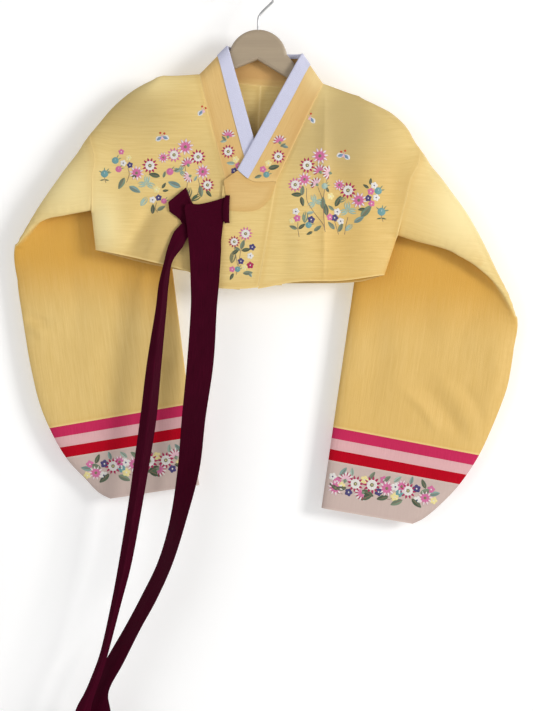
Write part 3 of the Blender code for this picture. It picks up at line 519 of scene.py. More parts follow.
def git_line(front, hang, share):
    """The collar's outer and inner edge at shares of one leg, or of half the back."""
    share = np.asarray(share, float)
    if front:
        ends = GIT_END_RIGHT if hang.sign < 0 else GIT_END_LEFT
        return between(hang.neck, ends[0], share), between(hang.neck_top, ends[1], share)
    across = CENTRE_BACK * share if hang.sign < 0 else 1 - (1 - CENTRE_BACK) * share
    return (
        neck_seam(across, NECK_DIP, (RIGHT.neck, LEFT.neck)),
        neck_seam(across, NECK_TOP_DIP, (RIGHT.neck_top, LEFT.neck_top)),
    )


def row_shares():
    """Shares of the height, close together near the top fold and the underarm seam."""
    high = 0.085 * np.linspace(0, 1, 11) ** 2
    middle = np.linspace(0.085, 0.67, 41)[1:-1]
    low = ARMHOLE_SHARE - 0.12 * np.linspace(1, 0, 13) ** 2
    rest = np.linspace(ARMHOLE_SHARE, 1, 17)[1:]
    return np.concatenate((high, middle, low, rest)), len(high) + len(middle) + len(low) - 1


def column_places():
    """Columns of the body from the centre to the armhole, closer at the side seam."""
    centre = np.concatenate([np.linspace(i, i + 1, 7)[:-1] for i in range(NECK)])
    side = np.linspace(NECK, ARMHOLE - 1, 81)[:-1]
    last = ARMHOLE - np.linspace(1, 0, 9) ** 2
    return np.concatenate((centre, side, last))


ROWS, ARMHOLE_ROW = row_shares()
COLUMNS = column_places()


def body_top_and_hem(front, hang, k):
    hem = FRONT_HEM if front else BACK_HEM
    foot = (SEOP_INNER_FOOT if hang.sign < 0 else SEOP_FOOT)[0] if front else CENTRE_BACK_FOOT
    leg = LEG_SHARES if front else BACK_SHARES
    near = git_line(front, hang, np.interp(NECK - np.minimum(k, NECK), range(NECK + 1), leg))[0]
    share = np.clip((k - NECK) / (ARMHOLE - NECK), 0, 1)
    top_x = hang.neck[0] + (hang.armhole_top[0] - hang.neck[0]) * share
    top_z = curve_value((hang.neck, hang.shoulder, hang.armhole_top), top_x)
    if hang.sign > 0:
        top_z = top_z + SHOULDER_RISE * np.exp(-(((top_x - 0.1760) / 0.014) ** 2))
    top = np.where((k <= NECK)[:, None], near, np.column_stack((top_x, top_z)))
    inner = foot + (hang.neck_column - foot) * k / NECK
    outer = hang.neck_column + (hang.hem_corner[0] - hang.neck_column) * share
    x = np.where(k <= NECK, inner, outer)
    return top, np.column_stack((x, curve_value(hem, x)))


def set_in(hang, points, share):
    """Points beside the armhole, moved in just below where the seam goes over the fold."""
    if hang.sign > 0:
        return points
    bump = np.sin(math.pi * np.clip(-past_fold(hang, points) / FOLD_HALF, 0, 1))
    return points - (SEAM_SET_IN * bump * share)[..., None] * fold_axes(hang)[1]


def body_flat(front, hang):
    """Flat points of the body, column by column, how far each is below the top, and its height."""
    top, bottom = body_top_and_hem(front, hang, COLUMNS)
    points = top[:, None] + (bottom - top)[:, None] * ROWS[None, :, None]
    straight = between(hang.armhole_top, hang.hem_corner, ROWS)
    upper = between(hang.armhole_top, hang.armhole_bottom, ROWS / ARMHOLE_SHARE)
    past = (ROWS - ARMHOLE_SHARE) / (1 - ARMHOLE_SHARE)
    lower = between(hang.armhole_bottom, hang.hem_corner, past)
    bent = np.where((ROWS < ARMHOLE_SHARE)[:, None], upper, lower)
    side = eased((COLUMNS - NECK) / (ARMHOLE - NECK))
    points = points + side[:, None, None] * (bent - straight)[None]
    points = set_in(hang, points, side[:, None] ** 3)
    front_top, front_bottom = body_top_and_hem(True, hang, COLUMNS)
    below = ROWS[None, :] * np.linalg.norm(front_top - front_bottom, axis=1)[:, None]
    near = np.minimum(
        segment_distance(points, hang.neck, hang.neck_top),
        segment_distance(points, hang.neck, hang.shoulder),
    )
    return points, np.where((COLUMNS < NECK)[:, None], near, below), below


def sleeve_places():
    """Sections of the sleeve down to the cuff's edge, and where each of its pieces starts."""
    places = [0.0007, 0.0014, 0.0026, *np.linspace(0, STRIPES_START, 107)[1:]]
    starts = [0, len(places)]
    for width, parts in (*[(STRIPE, 5)] * 3, (CUFF, 20)):
        places += list(places[-1] + width * np.linspace(0, 1, parts + 1)[1:])
        starts.append(len(places))
    return np.array(places), starts


PLACES, PIECE_STARTS = sleeve_places()


def sleeve_axes(hang):
    """Outward along the flat sleeve, and down across it."""
    droop = math.radians(hang.droop)
    outward = np.array((hang.sign * math.cos(droop), -math.sin(droop)))
    return outward, turned_left(outward) * -hang.sign


def sleeve_flat(hang):
    """Flat points of the sleeve, section by section, and their distances from its two edges."""
    outward, downward = sleeve_axes(hang)
    armhole = np.subtract(hang.armhole_bottom, hang.armhole_top)
    leans = ((0.0, armhole @ outward), (STRIPES_START, STRIPE_LEAN), (SLEEVE_LENGTH, CUFF_LEAN))
    foot = PLACES + curve_value(leans, PLACES)
    depth = curve_value(BAERAE, foot, 1 if hang.sign < 0 else 2)
    top = hang.armhole_top + PLACES[:, None] * outward
    bottom = hang.armhole_top + foot[:, None] * outward + depth[:, None] * downward
    share = ROWS[None, : ARMHOLE_ROW + 1] / ARMHOLE_SHARE
    points = top[:, None] + (bottom - top)[:, None] * share[..., None]
    points = set_in(hang, points, np.exp(-((PLACES / 0.035) ** 2))[:, None])
    length = np.linalg.norm(top - bottom, axis=1)[:, None]
    return points, share * length, (1 - share) * length


CREASES = {
    # side, front layer: creases before the fold line and beyond it
    ("right", True): (FRONT_RIGHT_CREASES, BEHIND_RIGHT_CREASES),
    ("left", True): (FRONT_LEFT_CREASES, BEHIND_LEFT_CREASES),
    ("right", False): (BACK_CREASES, LOWER_RIGHT_CREASES),
    ("left", False): (BACK_CREASES, LOWER_LEFT_CREASES),
}


def relief(hang, front, points):
    """How far the creases move the cloth of one layer away from its middle plane."""
    before, after = CREASES[(hang.side, front)]
    blend = eased((past_fold(hang, points) + 0.02) / 0.04)
    hung = turned_back(hang, points)
    seed = 3.0 + hang.sign if front else 11.0
    near = crease_relief(points, before) + unevenness(points, seed)
    far = crease_relief(hung, after) + unevenness(hung, seed + 20 + hang.sign)
    return near * (1 - blend) + far * blend


class Half:
    """One smooth surface for the body, sleeve, stripes and cuff of one side."""

    SLEEVE_PIECES = ("sleeve", "stripe_magenta", "stripe_pink", "stripe_red", "cuff_band")

    def __init__(self, hang):
        self.hang = hang
        self.points, self.grain, self.turned = [], [], []
        body, sleeve = {}, {}
        for front in (True, False):
            body[front] = self.add_body(front)
            armhole = body[front][-1:, : ARMHOLE_ROW + 1]
            sleeve[front] = np.vstack((armhole, self.add_sleeve(front)))
        self.points = np.vstack(self.points)
        self.grain = np.vstack(self.grain)
        self.turned = np.concatenate(self.turned)
        body[False][COLUMNS >= NECK, 0] = body[True][COLUMNS >= NECK, 0]
        body[False][-1, ARMHOLE_ROW:] = body[True][-1, ARMHOLE_ROW:]
        sleeve[False][0] = body[False][-1, : ARMHOLE_ROW + 1]
        for edge in (0, ARMHOLE_ROW):
            sleeve[False][:, edge] = sleeve[True][:, edge]
        self.quads = {"body": self.both_layers(body)}
        for i, name in enumerate(self.SLEEVE_PIECES):
            self.quads[name] = self.both_layers(sleeve, PIECE_STARTS[i], PIECE_STARTS[i + 1] + 1)
        self.normals = vertex_normals(self.points, np.vstack(list(self.quads.values())))

    def both_layers(self, grids, first=None, last=None):
        outward = self.hang.sign > 0
        layers = [grid_quads(grids[front][first:last], outward == front) for front in (True, False)]
        return np.vstack(layers)

    def add_layer(self, front, points, depth, shared, grain, turned):
        """Folds and keeps one layer, whose depth is 0 at the points it shares with the other."""
        count = sum(map(len, self.points))
        depth = np.where(shared.reshape(-1), 0.0, depth)
        self.points.append(folded(self.hang, points, depth if front else -depth))
        self.grain.append(grain)
        self.turned.append(turned)
        return count + np.arange(len(points)).reshape(shared.shape)

    def add_body(self, front):
        hang = self.hang
        flat, below, down = body_flat(front, hang)
        shared = np.zeros(down.shape, bool)
        shared[COLUMNS >= NECK, 0] = shared[-1, ARMHOLE_ROW:] = True
        points, below, down = flat.reshape(-1, 2), below.reshape(-1), down.reshape(-1)
        from_seam = segment_distance(points, hang.armhole_bottom, hang.hem_corner)
        soft = eased(np.minimum(below, down) / SOFT_TOP) * eased(from_seam / SOFT_SEAM)
        depth = cloth_depth(hang, points, below, from_seam) + relief(hang, front, points) * soft
        if front:
            depth = depth + overlap_lift(hang, points, below)
        return self.add_layer(front, points, depth, shared, points, np.zeros(len(points)))

    def add_sleeve(self, front):
        hang = self.hang
        flat, down, from_seam = sleeve_flat(hang)
        shared = np.zeros(down.shape, bool)
        shared[:, [0, ARMHOLE_ROW]] = True
        points, down, from_seam = flat.reshape(-1, 2), down.reshape(-1), from_seam.reshape(-1)
        places = np.repeat(PLACES, shared.shape[1])
        soft = eased(down / SOFT_TOP) * eased(from_seam / SOFT_SEAM)
        soft = soft * (1 - STIFFER_CUFF * eased((places - 0.42) / 0.03))
        pucker = PUCKER * np.sin(places * 2 * math.pi / PUCKER_LENGTH)
        pucker *= np.exp(-from_seam / 0.010) * eased(from_seam / 0.004)
        depth = cloth_depth(hang, points, down, from_seam) + pucker
        depth = depth + relief(hang, front, points) * soft
        grain = (points - hang.armhole_top) @ np.column_stack(sleeve_axes(hang))
        # The back layer, where it has turned past the fold to face forward, takes the painted shade
        # and glow under the upper layer
        turned = eased((past_fold(hang, points) + 0.012) / 0.02) * (not front)
        return self.add_layer(front, points, depth, shared, grain, turned)


def grid_quads(ids, flip):
    quads = np.stack((ids[:-1, :-1], ids[1:, :-1], ids[1:, 1:], ids[:-1, 1:]), axis=-1)
    quads = quads.reshape(-1, 4)
    return quads[:, ::-1] if flip else quads


def vertex_normals(points, quads):
    a, b, c, d = (points[quads[:, i]] for i in range(4))
    face = np.cross(c - a, d - b)
    normals = np.zeros_like(points)
    for i in range(4):
        np.add.at(normals, quads[:, i], face)
    return unit(normals)


def rim_edges(quads):
    """Directed edges that only one quad has, and that quad."""
    starts = quads.reshape(-1)
    ends = np.roll(quads, -1, axis=1).reshape(-1)
    owner = np.repeat(np.arange(len(quads)), 4)
    size = quads.max() + 1
    own, other = starts * size + ends, ends * size + starts
    lone = ~np.isin(own, other)
    return starts[lone], ends[lone], owner[lone]


def add_object(name, data):
    made = bpy.data.objects.new(name, data)
    bpy.context.scene.collection.objects.link(made)
    return made


def smooth_mesh(name, vertices, faces, grain=None, values=None, angle=50):
    """A mesh with smooth faces, sharp rims, the cloth's own coordinates and values per vertex."""
    mesh = bpy.data.meshes.new(name)
    mesh.from_pydata(np.asarray(vertices).tolist(), [], [list(map(int, face)) for face in faces])
    mesh.shade_smooth()
    if angle:
        mesh.validate()
        mesh.set_sharp_from_angle(angle=math.radians(angle))
    if grain is not None:
        corners = np.zeros(len(mesh.loops), np.int32)
        mesh.loops.foreach_get("vertex_index", corners)
        layer = mesh.uv_layers.new(name="grain")
        layer.uv.foreach_set("vector", np.asarray(grain, np.float32)[corners].ravel())
    for key, value in (values or {}).items():
        attribute = mesh.attributes.new(key, "FLOAT", "POINT")
        attribute.data.foreach_set("value", value.astype(np.float32))
    return add_object(name, mesh)


def cloth_piece(
    name, points, normals, quads, grain, wall, seam, material, replaced, turned=None
):
    """A wall of even thickness on some quads of a surface, as a piece that rides on the frame."""
    starts, ends, owner = rim_edges(quads)
    along = unit(points[ends] - points[starts])
    toward = points[quads].mean(axis=1)[owner] - points[starts]
    toward = unit(toward - along * (toward * along).sum(axis=1)[:, None])
    inward = np.zeros_like(points)
    np.add.at(inward, starts, toward)
    np.add.at(inward, ends, toward)
    moved = points + seam * unit(inward - normals * (inward * normals).sum(axis=1)[:, None])
    used = np.unique(quads)
    tree = KDTree(len(starts))
    for i, corner in enumerate(starts):
        tree.insert(points[corner], i)
    tree.balance()
    away = np.array([tree.find(point)[2] for point in points[used]])
    # A painted highlight lies along the small raised ridge at each seam and edge
    edge = np.exp(-((away / PIPING_WIDTH) ** 2)) * (seam > 0)
    moved[used] += normals[used] * (PIPING * edge * (away > 0))[:, None]
    new = np.zeros(len(points), np.int64)
    new[used] = np.arange(len(used))
    count = len(used)
    half = normals[used] * wall / 2
    vertices = np.vstack((moved[used] + half, moved[used] - half))
    a, b = new[starts], new[ends]
    sides = np.column_stack((b, a, a + count, b + count))
    faces = [*new[quads], *(new[quads][:, ::-1] + count), *sides]
    places = np.tile(moved[used], (2, 1))
    forward = np.concatenate((normals[used, 1] < 0, normals[used, 1] > 0))
    turned = np.zeros(count) if turned is None else turned[used]
    # rim is the seam allowance that shows through; the other values paint light and shade: a seam
    # highlight, shade and glow under upper layers, shade zones and light zones
    values = {
        "rim": np.tile(np.exp(-((away / RIM_WIDTH) ** 4)), 2),
        "edge": np.tile(edge, 2),
        "under": shade_under(places, np.tile(turned, 2), forward),
        "painted_shade": forward * zones(places, PAINTED_SHADE_ZONES, back_neck(places) + painted_fold_shade(places)),
        "painted_light": forward * zones(places, PAINTED_LIGHT_ZONES),
    }
    piece = smooth_mesh(name, vertices, faces, np.tile(grain[used], (2, 1)), values)
    return finished(piece, material, replaced)


def shade_under(points, turned, forward):
    """Painted shade and warm glow: 1 where a lower sleeve lies just under the upper layer, 0 where
    it hangs free.
    """
    x, y, z = points.T
    hem = curve_value(BACK_HEM, x)
    least = np.where(x > 0, LEFT_UNDER, RIGHT_UNDER)
    warm = turned * (least + (1 - least) * eased(1 - (hem - z) / UNDER_REACH))
    # Painted shade and glow on the inside of the back, where it shows below the front's hem
    inside = (y > BACK_INSIDE[0]) & (y < BACK_INSIDE[1]) & (np.abs(x) < 0.25)
    warm = warm + inside * forward * eased(1.3 - (z - hem) / 0.025)
    # Painted warm shade over the lower part of the left front
    left_front = (y < 0) * eased((x - 0.05) / 0.07) * (turned < 0.5)
    warm = warm + 0.30 * left_front * eased((-0.225 - z) / 0.08)
    # and the painted shade beside the right front's diagonal fold
    warm = warm + 0.55 * painted_fold_shade(points)
    return np.clip(warm, 0, 1)


def zones(points, rows, more=0):
    """1 in the middle of some soft zones of the cloth in front, 0 away from them."""
    x, y, z = points.T
    total = np.zeros(len(points))
    for middle_x, middle_z, across, down, strength in rows:
        away = ((x - middle_x) / across) ** 2 + ((z - middle_z) / down) ** 2
        total += strength * np.exp(-away)
    return np.clip(total * (y < ZONES_DEEPEST) + more, 0, 1)


def back_neck(points):
    """Painted shade on the inside of the back, as the open neck shows it."""
    x, y, z = points.T
    return ((y > 0) & (np.abs(x) < 0.07)) * eased((z + 0.150) / 0.010)


def painted_fold_shade(points):
    """Painted shade on the loose right front, at the image-left side of its diagonal fold."""
    x, y, z = points.T
    start, end = SHADED_FOLD_LINE
    past = (points[:, [0, 2]] - start) @ turned_left(unit(end - start))
    low = eased((-0.325 - z) / 0.035) * eased((-0.090 - x) / 0.02)
    return 0.50 * eased((past + 0.009) / 0.024) * low * (y < 0)


def finished(piece, material, replaced=()):
    piece.data.materials.append(material)
    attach(piece, "root")
    if replaced:
        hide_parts(*replaced)
    return piece


def grid_piece(name, rows, grain, wall, seam, material, replaced, flip=False):
    """A wall on rows of points."""
    rows = np.asarray(rows, float)
    ids = np.arange(rows.shape[0] * rows.shape[1]).reshape(rows.shape[:2])
    quads = grid_quads(ids, flip)
    points = rows.reshape(-1, 3)
    normals = vertex_normals(points, quads)
    flat = np.asarray(grain, float).reshape(-1, 2)
    return cloth_piece(name, points, normals, quads, flat, wall, seam, material, replaced)


# Collar, front overlaps and the collar's head


def git_points(front, hang, shares, across):
    """Middle surface of the collar: shares along a leg, across from its inner to its outer edge."""
    shares, across = np.broadcast_arrays(np.asarray(shares, float), np.asarray(across, float))
    outer, inner = git_line(front, hang, shares)
    points = between(inner, outer, across)
    if front and hang.sign > 0:
        longer = curve_value(GIT_POINT, across) * eased((shares - 0.5) * 2)
        down = unit(np.subtract(GIT_END_LEFT[1], hang.neck_top))
        points = points + longer[..., None] * down
    flat = points.reshape(-1, 2)
    below = [segment_distance(flat, side.neck, side.neck_top) for side in (RIGHT, LEFT)]
    below = np.minimum(*below)
    depth = BODY_DEPTH * rounded(below, SHOULDER_ROUNDING)
    if front:
        depth = depth + overlap_lift(hang, flat, below)
        depth = depth + hang.collar_raise * eased(below / SHOULDER_ROUNDING)
    depth = depth + CROWN * (1 - (2 * across.reshape(-1) - 1) ** 4) * eased(below / 0.01)
    y = -depth if front else depth
    return np.column_stack((flat[:, 0], y, flat[:, 1])).reshape(*shares.shape, 3)


def finer(shares, parts=4):
    """Shares with equal steps put between them."""
    places = np.arange((len(shares) - 1) * parts + 1) / parts
    return np.interp(places, range(len(shares)), shares)


def git_rows(across, bare=0.0):
    """Rows of the collar from its hidden right end round the back to its left end."""
    leg, back = finer(LEG_SHARES), finer(BACK_SHARES)
    parts = (
        (True, RIGHT, leg[leg <= 1 - bare][::-1]),
        (False, RIGHT, back[1:]),
        (False, LEFT, back[-2::-1]),
        (True, LEFT, leg[1:]),
    )
    return np.vstack([git_points(front, hang, at[:, None], across) for front, hang, at in parts])


def run_lengths(rows):
    """Distance along the middle of rows of points."""
    return runs_along(rows[:, rows.shape[1] // 2])


def make_git(material):
    over = np.array((0, 0.02, 0.045, *np.linspace(0.09, 0.91, 13), 0.955, 0.98, 1))
    rows = git_rows(over)
    grain = paired(run_lengths(rows)[:, None], GIT_WIDTH * over)
    return grid_piece("git_cloth", rows, grain, CLOTH, SEAM_DRAW, material, ["git"])


def make_dongjeong(material):
    """A stiff strip folded over the collar's inner edge."""
    gap = CLOTH / 2 + SEAM + STRIP_CLOTH / 2
    profile = [(DONGJEONG * (1 - i / 8), gap) for i in range(8)] + [(DONGJEONG_TURN, gap)]
    for turn in np.radians(range(30, 180, 30)):
        profile.append((DONGJEONG_TURN - gap * math.sin(turn), gap * math.cos(turn)))
    profile += [(DONGJEONG_TURN, -gap), (DONGJEONG_INSIDE / 2, -gap), (DONGJEONG_INSIDE, -gap)]
    base = git_rows(np.linspace(0, 1, 23), DONGJEONG_BARE)
    edge, at, last = base[:, 0], np.arange(len(base)), base.shape[1] - 1
    over = unit(base[:, 2] - edge)
    out = unit(np.cross(np.gradient(edge, axis=0), over))
    width = np.linalg.norm(base[:, -1] - edge, axis=1)
    columns = []
    for inward, forward in profile:
        if inward > DONGJEONG_TURN:
            place = np.clip(inward / width, 0, 1) * last
            low = np.floor(place).astype(int)
            middle = between(base[at, low], base[at, np.minimum(low + 1, last)], place - low)
        else:
            middle = edge + over * inward
        columns.append(middle + out * forward)
    rows = np.stack(columns, axis=1)
    grain = paired(run_lengths(rows)[:, None], runs_along(np.array(profile)))
    node, slot = "dongjeong", "white_strip"
    return grid_piece(f"{node}_cloth", rows, grain, STRIP_CLOTH, SEAM_DRAW, material, [node])


def make_overlaps(material):
    pieces = []
    down = np.linspace(0, 1, 41)
    over = np.array((0, 0.02, 0.04, 0.07, *np.linspace(0.12, 0.88, 13), 0.93, 0.96, 0.98, 1))
    shape = (len(down), len(over))
    for node, corners, hang, flip in (
        ("seop_inner", ((GIT_END_RIGHT[0], SEOP_INNER_FOOT), SEOP_INNER_EDGE), RIGHT, False),
        ("seop_outer", ((SEOP_TOP, SEOP_FOOT), SEOP_EDGE), LEFT, True),
    ):
        seam, edge = (between(*ends, down)[:, None] for ends in corners)
        flat = (seam + (edge - seam) * over[:, None]).reshape(-1, 2)
        lift = OVERLAP_LIFT if hang.sign > 0 else 0
        ease = np.repeat(eased(down / 0.15), len(over))
        depth = BODY_DEPTH + lift + relief(hang, True, flat) * ease
        rows = np.column_stack((flat[:, 0], -depth, flat[:, 1])).reshape(*shape, 3)
        rows[..., 2] -= OVERLAP_BOW * np.sin(math.pi * over) * down[:, None] ** 3 * hang.sign
        piece = grid_piece(f"{node}_cloth", rows, flat, CLOTH, SEAM_DRAW, material, [node],
                           flip)  # fmt: skip
        pieces.append(piece)
    return pieces


def make_head(material):
    """The cup-shaped end of the collar, slightly crowned."""
    over, down = np.linspace(0, 1, 25), np.linspace(0, 1, 22)
    top = git_points(True, LEFT, np.ones(len(over)), over)[:, [0, 2]] - (0, SEAM)
    bottom = resampled(through(HEAD_CUP[::-1], 10)[1], over)
    left = resampled(np.array((top[0], HEAD_SIDE, bottom[0])), down)
    right = between(top[-1], bottom[-1], down)
    u, v = over[None, :, None], down[:, None, None]
    flat = (1 - v) * top[None] + v * bottom[None] + (1 - u) * left[:, None] + u * right[:, None]
    flat -= (1 - u) * (1 - v) * top[0] + u * (1 - v) * top[-1]
    flat -= (1 - u) * v * bottom[0] + u * v * bottom[-1]
    middle = BODY_DEPTH + OVERLAP_LIFT + LEFT.collar_raise
    crown = CROWN * (1 - (2 * u[..., 0] - 1) ** 4) * (1 - (2 * v[..., 0] - 1) ** 4)
    rows = np.dstack((flat[..., 0], -(middle + crown), flat[..., 1]))
    return grid_piece("git_head_cloth", rows, flat, CLOTH, 0.0, material, ["git_head"],
                      True)  # fmt: skip


# Ribbons


def make_ribbon(node, lines, sharp, crumpled, straight, material):
    """A ribbon on rows of two end points and a crest, with a sharp fold at one of its rows."""
    at, table = through(lines, 7, straight)
    over = np.linspace(0, 1, 17)
    arch = np.sin(math.pi * over)
    start, end, crest = table[:, 0:3], table[:, 3:6], table[:, 6:]
    rows = start[:, None] + (end - start)[:, None] * over[None, :, None]
    rows[..., 1] -= crest * np.clip(1 - np.sqrt((2 * over - 1) ** 2 + 0.003), 0, 1)
    rows[..., 1] -= (SHARP_FOLD * np.exp(-(((at - sharp) / 0.22) ** 2)))[:, None]
    crumple = np.sin(over[None] * 9.0 + at[:, None] * 1.7) * arch
    rows[..., 1] += crumpled * crumple * eased((7.5 - at) / 2.0)[:, None]
    runs = run_lengths(rows)[:, None]
    wave = RIBBON_WAVE * np.sin(runs / 0.021 + 1.3 * np.sin(runs / 0.05))
    rows[..., 1] += wave * arch**2 * eased(runs / 0.08)
    grain = paired(runs, np.linalg.norm(end - start, axis=1)[:, None] * over)
    return grid_piece(f"{node}_satin", rows, grain, RIBBON_CLOTH, 0, material, [node])


def make_ribbons(material):
    """Both ribbons, from rows of x, y, z at one edge, x, y, z at the other, and the crest."""
    long = [(ux, y, uz, lx, y, lz, 0) for ux, uz, lx, lz, y in LONG_TAB]
    for z, x, y, half, turn in LONG_RIBBON:
        long.append((x - half, y + turn, z, x + half, y - turn, z, 0))
    short = [(ox, oy, oz, ix, iy, iz, 0) for ox, oz, oy, ix, iz, iy in SHORT_TAB]
    short += [(x - half, y, z, x + half, y, z, crest) for z, x, y, half, crest in SHORT_RIBBON]
    return [
        make_ribbon("goreum_long", long, 3, 0, 0, material),
        make_ribbon("goreum_short", short, -math.inf, CRUMPLE, 8, material),
    ]


def make_folded_end(material):
    """The long ribbon's end, turned over once where it leaves the knot."""
    z, x, half = through(FOLDED_END, 5)[1].T[..., None]
    over = np.linspace(-1, 1, 9)
    y = FOLDED_END_Y - FOLDED_END_ROUND * np.sqrt(np.clip(1 - over**2, 0, 1))
    rows = np.stack(np.broadcast_arrays(x + half * over, y, z), axis=-1)
    grain = rows[..., [2, 0]]
    return grid_piece("goreum_long_end", rows, grain, RIBBON_CLOTH, 0, material, ())


# Embroidery. Places are (x, z) in millimetres on the hanging cloth, and turns are in degrees.

WHITE = (0.80, 0.77, 0.73)
PALE = (0.80, 0.50, 0.58)
PINK = (0.66, 0.155, 0.345)
MAGENTA = (0.42, 0.008, 0.085)
OLIVE = (0.215, 0.205, 0.095)
TEAL = (0.150, 0.340, 0.350)
DULL_TEAL = (0.235, 0.375, 0.335)
PALE_TEAL = (0.380, 0.530, 0.440)
GREY_GREEN = (0.200, 0.275, 0.180)
GREEN = (0.085, 0.130, 0.070)
NAVY = (0.060, 0.045, 0.170)
YELLOW = (0.84, 0.72, 0.32)
BROWN = (0.265, 0.165, 0.105)
BLUE = (0.185, 0.285, 0.410)
RED = (0.62, 0.070, 0.020)

RIGHT_FRONT_MOTIFS = (
    # kind, x, z, size, turn, colour
    ("rayed", -163, -275, 11.2, 8, MAGENTA),
    ("layered", -183, -286, 9.9, 24, PINK),
    ("layered", -143, -263, 7.2, 40, PINK),
    ("blossom", -195, -263, 4.2, 0, YELLOW),
    ("blossom", -206, -254, 4.0, 20, PINK),
    ("bud", -215, -267, 5.6, 10, TEAL),
    ("blossom", -203, -271, 4.4, 0, WHITE),
    ("blossom", -193, -274, 4.2, 30, NAVY),
    ("bud", -210, -280, 5.2, 0, PINK),
    ("sprig", -231, -287, 6.4, 90, TEAL),
    ("leaf", -201, -293, 17, -118, GREY_GREEN),
    ("leaf", -194, -306, 17, -28, DULL_TEAL),
    ("leaf", -191, -290, 9, -8, GREEN),
    ("trefoil", -168, -302, 12.5, 84, PALE_TEAL),
    ("leaf", -148, -291, 15, 168, GREEN),
    ("leaf", -143, -293, 9, 72, GREY_GREEN),
    ("bud", -133, -284, 5.8, 0, PINK),
    ("leaf", -127, -283, 8, 24, GREY_GREEN),
    ("blossom", -153, -311, 4.6, 12, YELLOW),
    ("leaf", -145, -309, 9, 55, GREEN),
    ("leaf", -144, -313, 8, 8, GREEN),
    ("open_leaf", -177, -335, 15, 52, PALE_TEAL),
    ("blossom", -159, -326, 4.6, 0, WHITE),
    ("blossom", -150, -323, 4.4, 25, NAVY),
    ("bud", -142, -328, 4.6, 0, PINK),
    ("leaf", -159, -347, 13, 88, GREEN),
    ("leaf", -152, -342, 12, 28, GREY_GREEN),
    ("stem", ((-169, -349), (-170, -334), (-169, -316)), 0.9, BROWN),
    ("stem", ((-196, -278), (-194, -288), (-198, -300)), 0.8, BROWN),
    ("stem", ((-153, -330), (-155, -339), (-151, -345)), 0.8, BROWN),
    ("layered", -110, -247, 11.0, 12, PINK),
    ("rayed", -127, -259, 10.3, 20, PINK),
    ("rayed", -91, -262, 10.8, 5, MAGENTA),
    ("side", -106, -273, 9.5, 108, PINK),
    ("layered", -84, -284, 9.9, 18, PINK),
    ("rayed", -77, -304, 9.9, 0, MAGENTA),
    ("side", -104, -291, 8.5, 205, PALE),
    ("trefoil", -118, -283, 9.5, 62, DULL_TEAL),
    ("leaf", -117, -307, 18, 158, DULL_TEAL),
    ("leaf", -115, -322, 13, 62, DULL_TEAL),
    ("open_leaf", -107, -325, 16, 74, OLIVE),
    ("open_leaf", -101, -327, 15, 30, GREEN),
    ("leaf", -88, -305, 15, -82, GREY_GREEN),
    ("leaf", -79, -312, 11, -50, GREEN),
    ("leaf", -97, -298, 8, 60, PALE_TEAL),
    ("stem", ((-112, -262), (-110, -280), (-107, -298), (-109, -318)), 0.9, BROWN),
    ("stem", ((-91, -295), (-89, -306), (-93, -320), (-102, -330)), 0.9, BROWN),
    ("butterfly", -145, -231, 10.0, 8, BLUE),
    ("butterfly", -84, -192, 9.5, 24, BLUE),
)
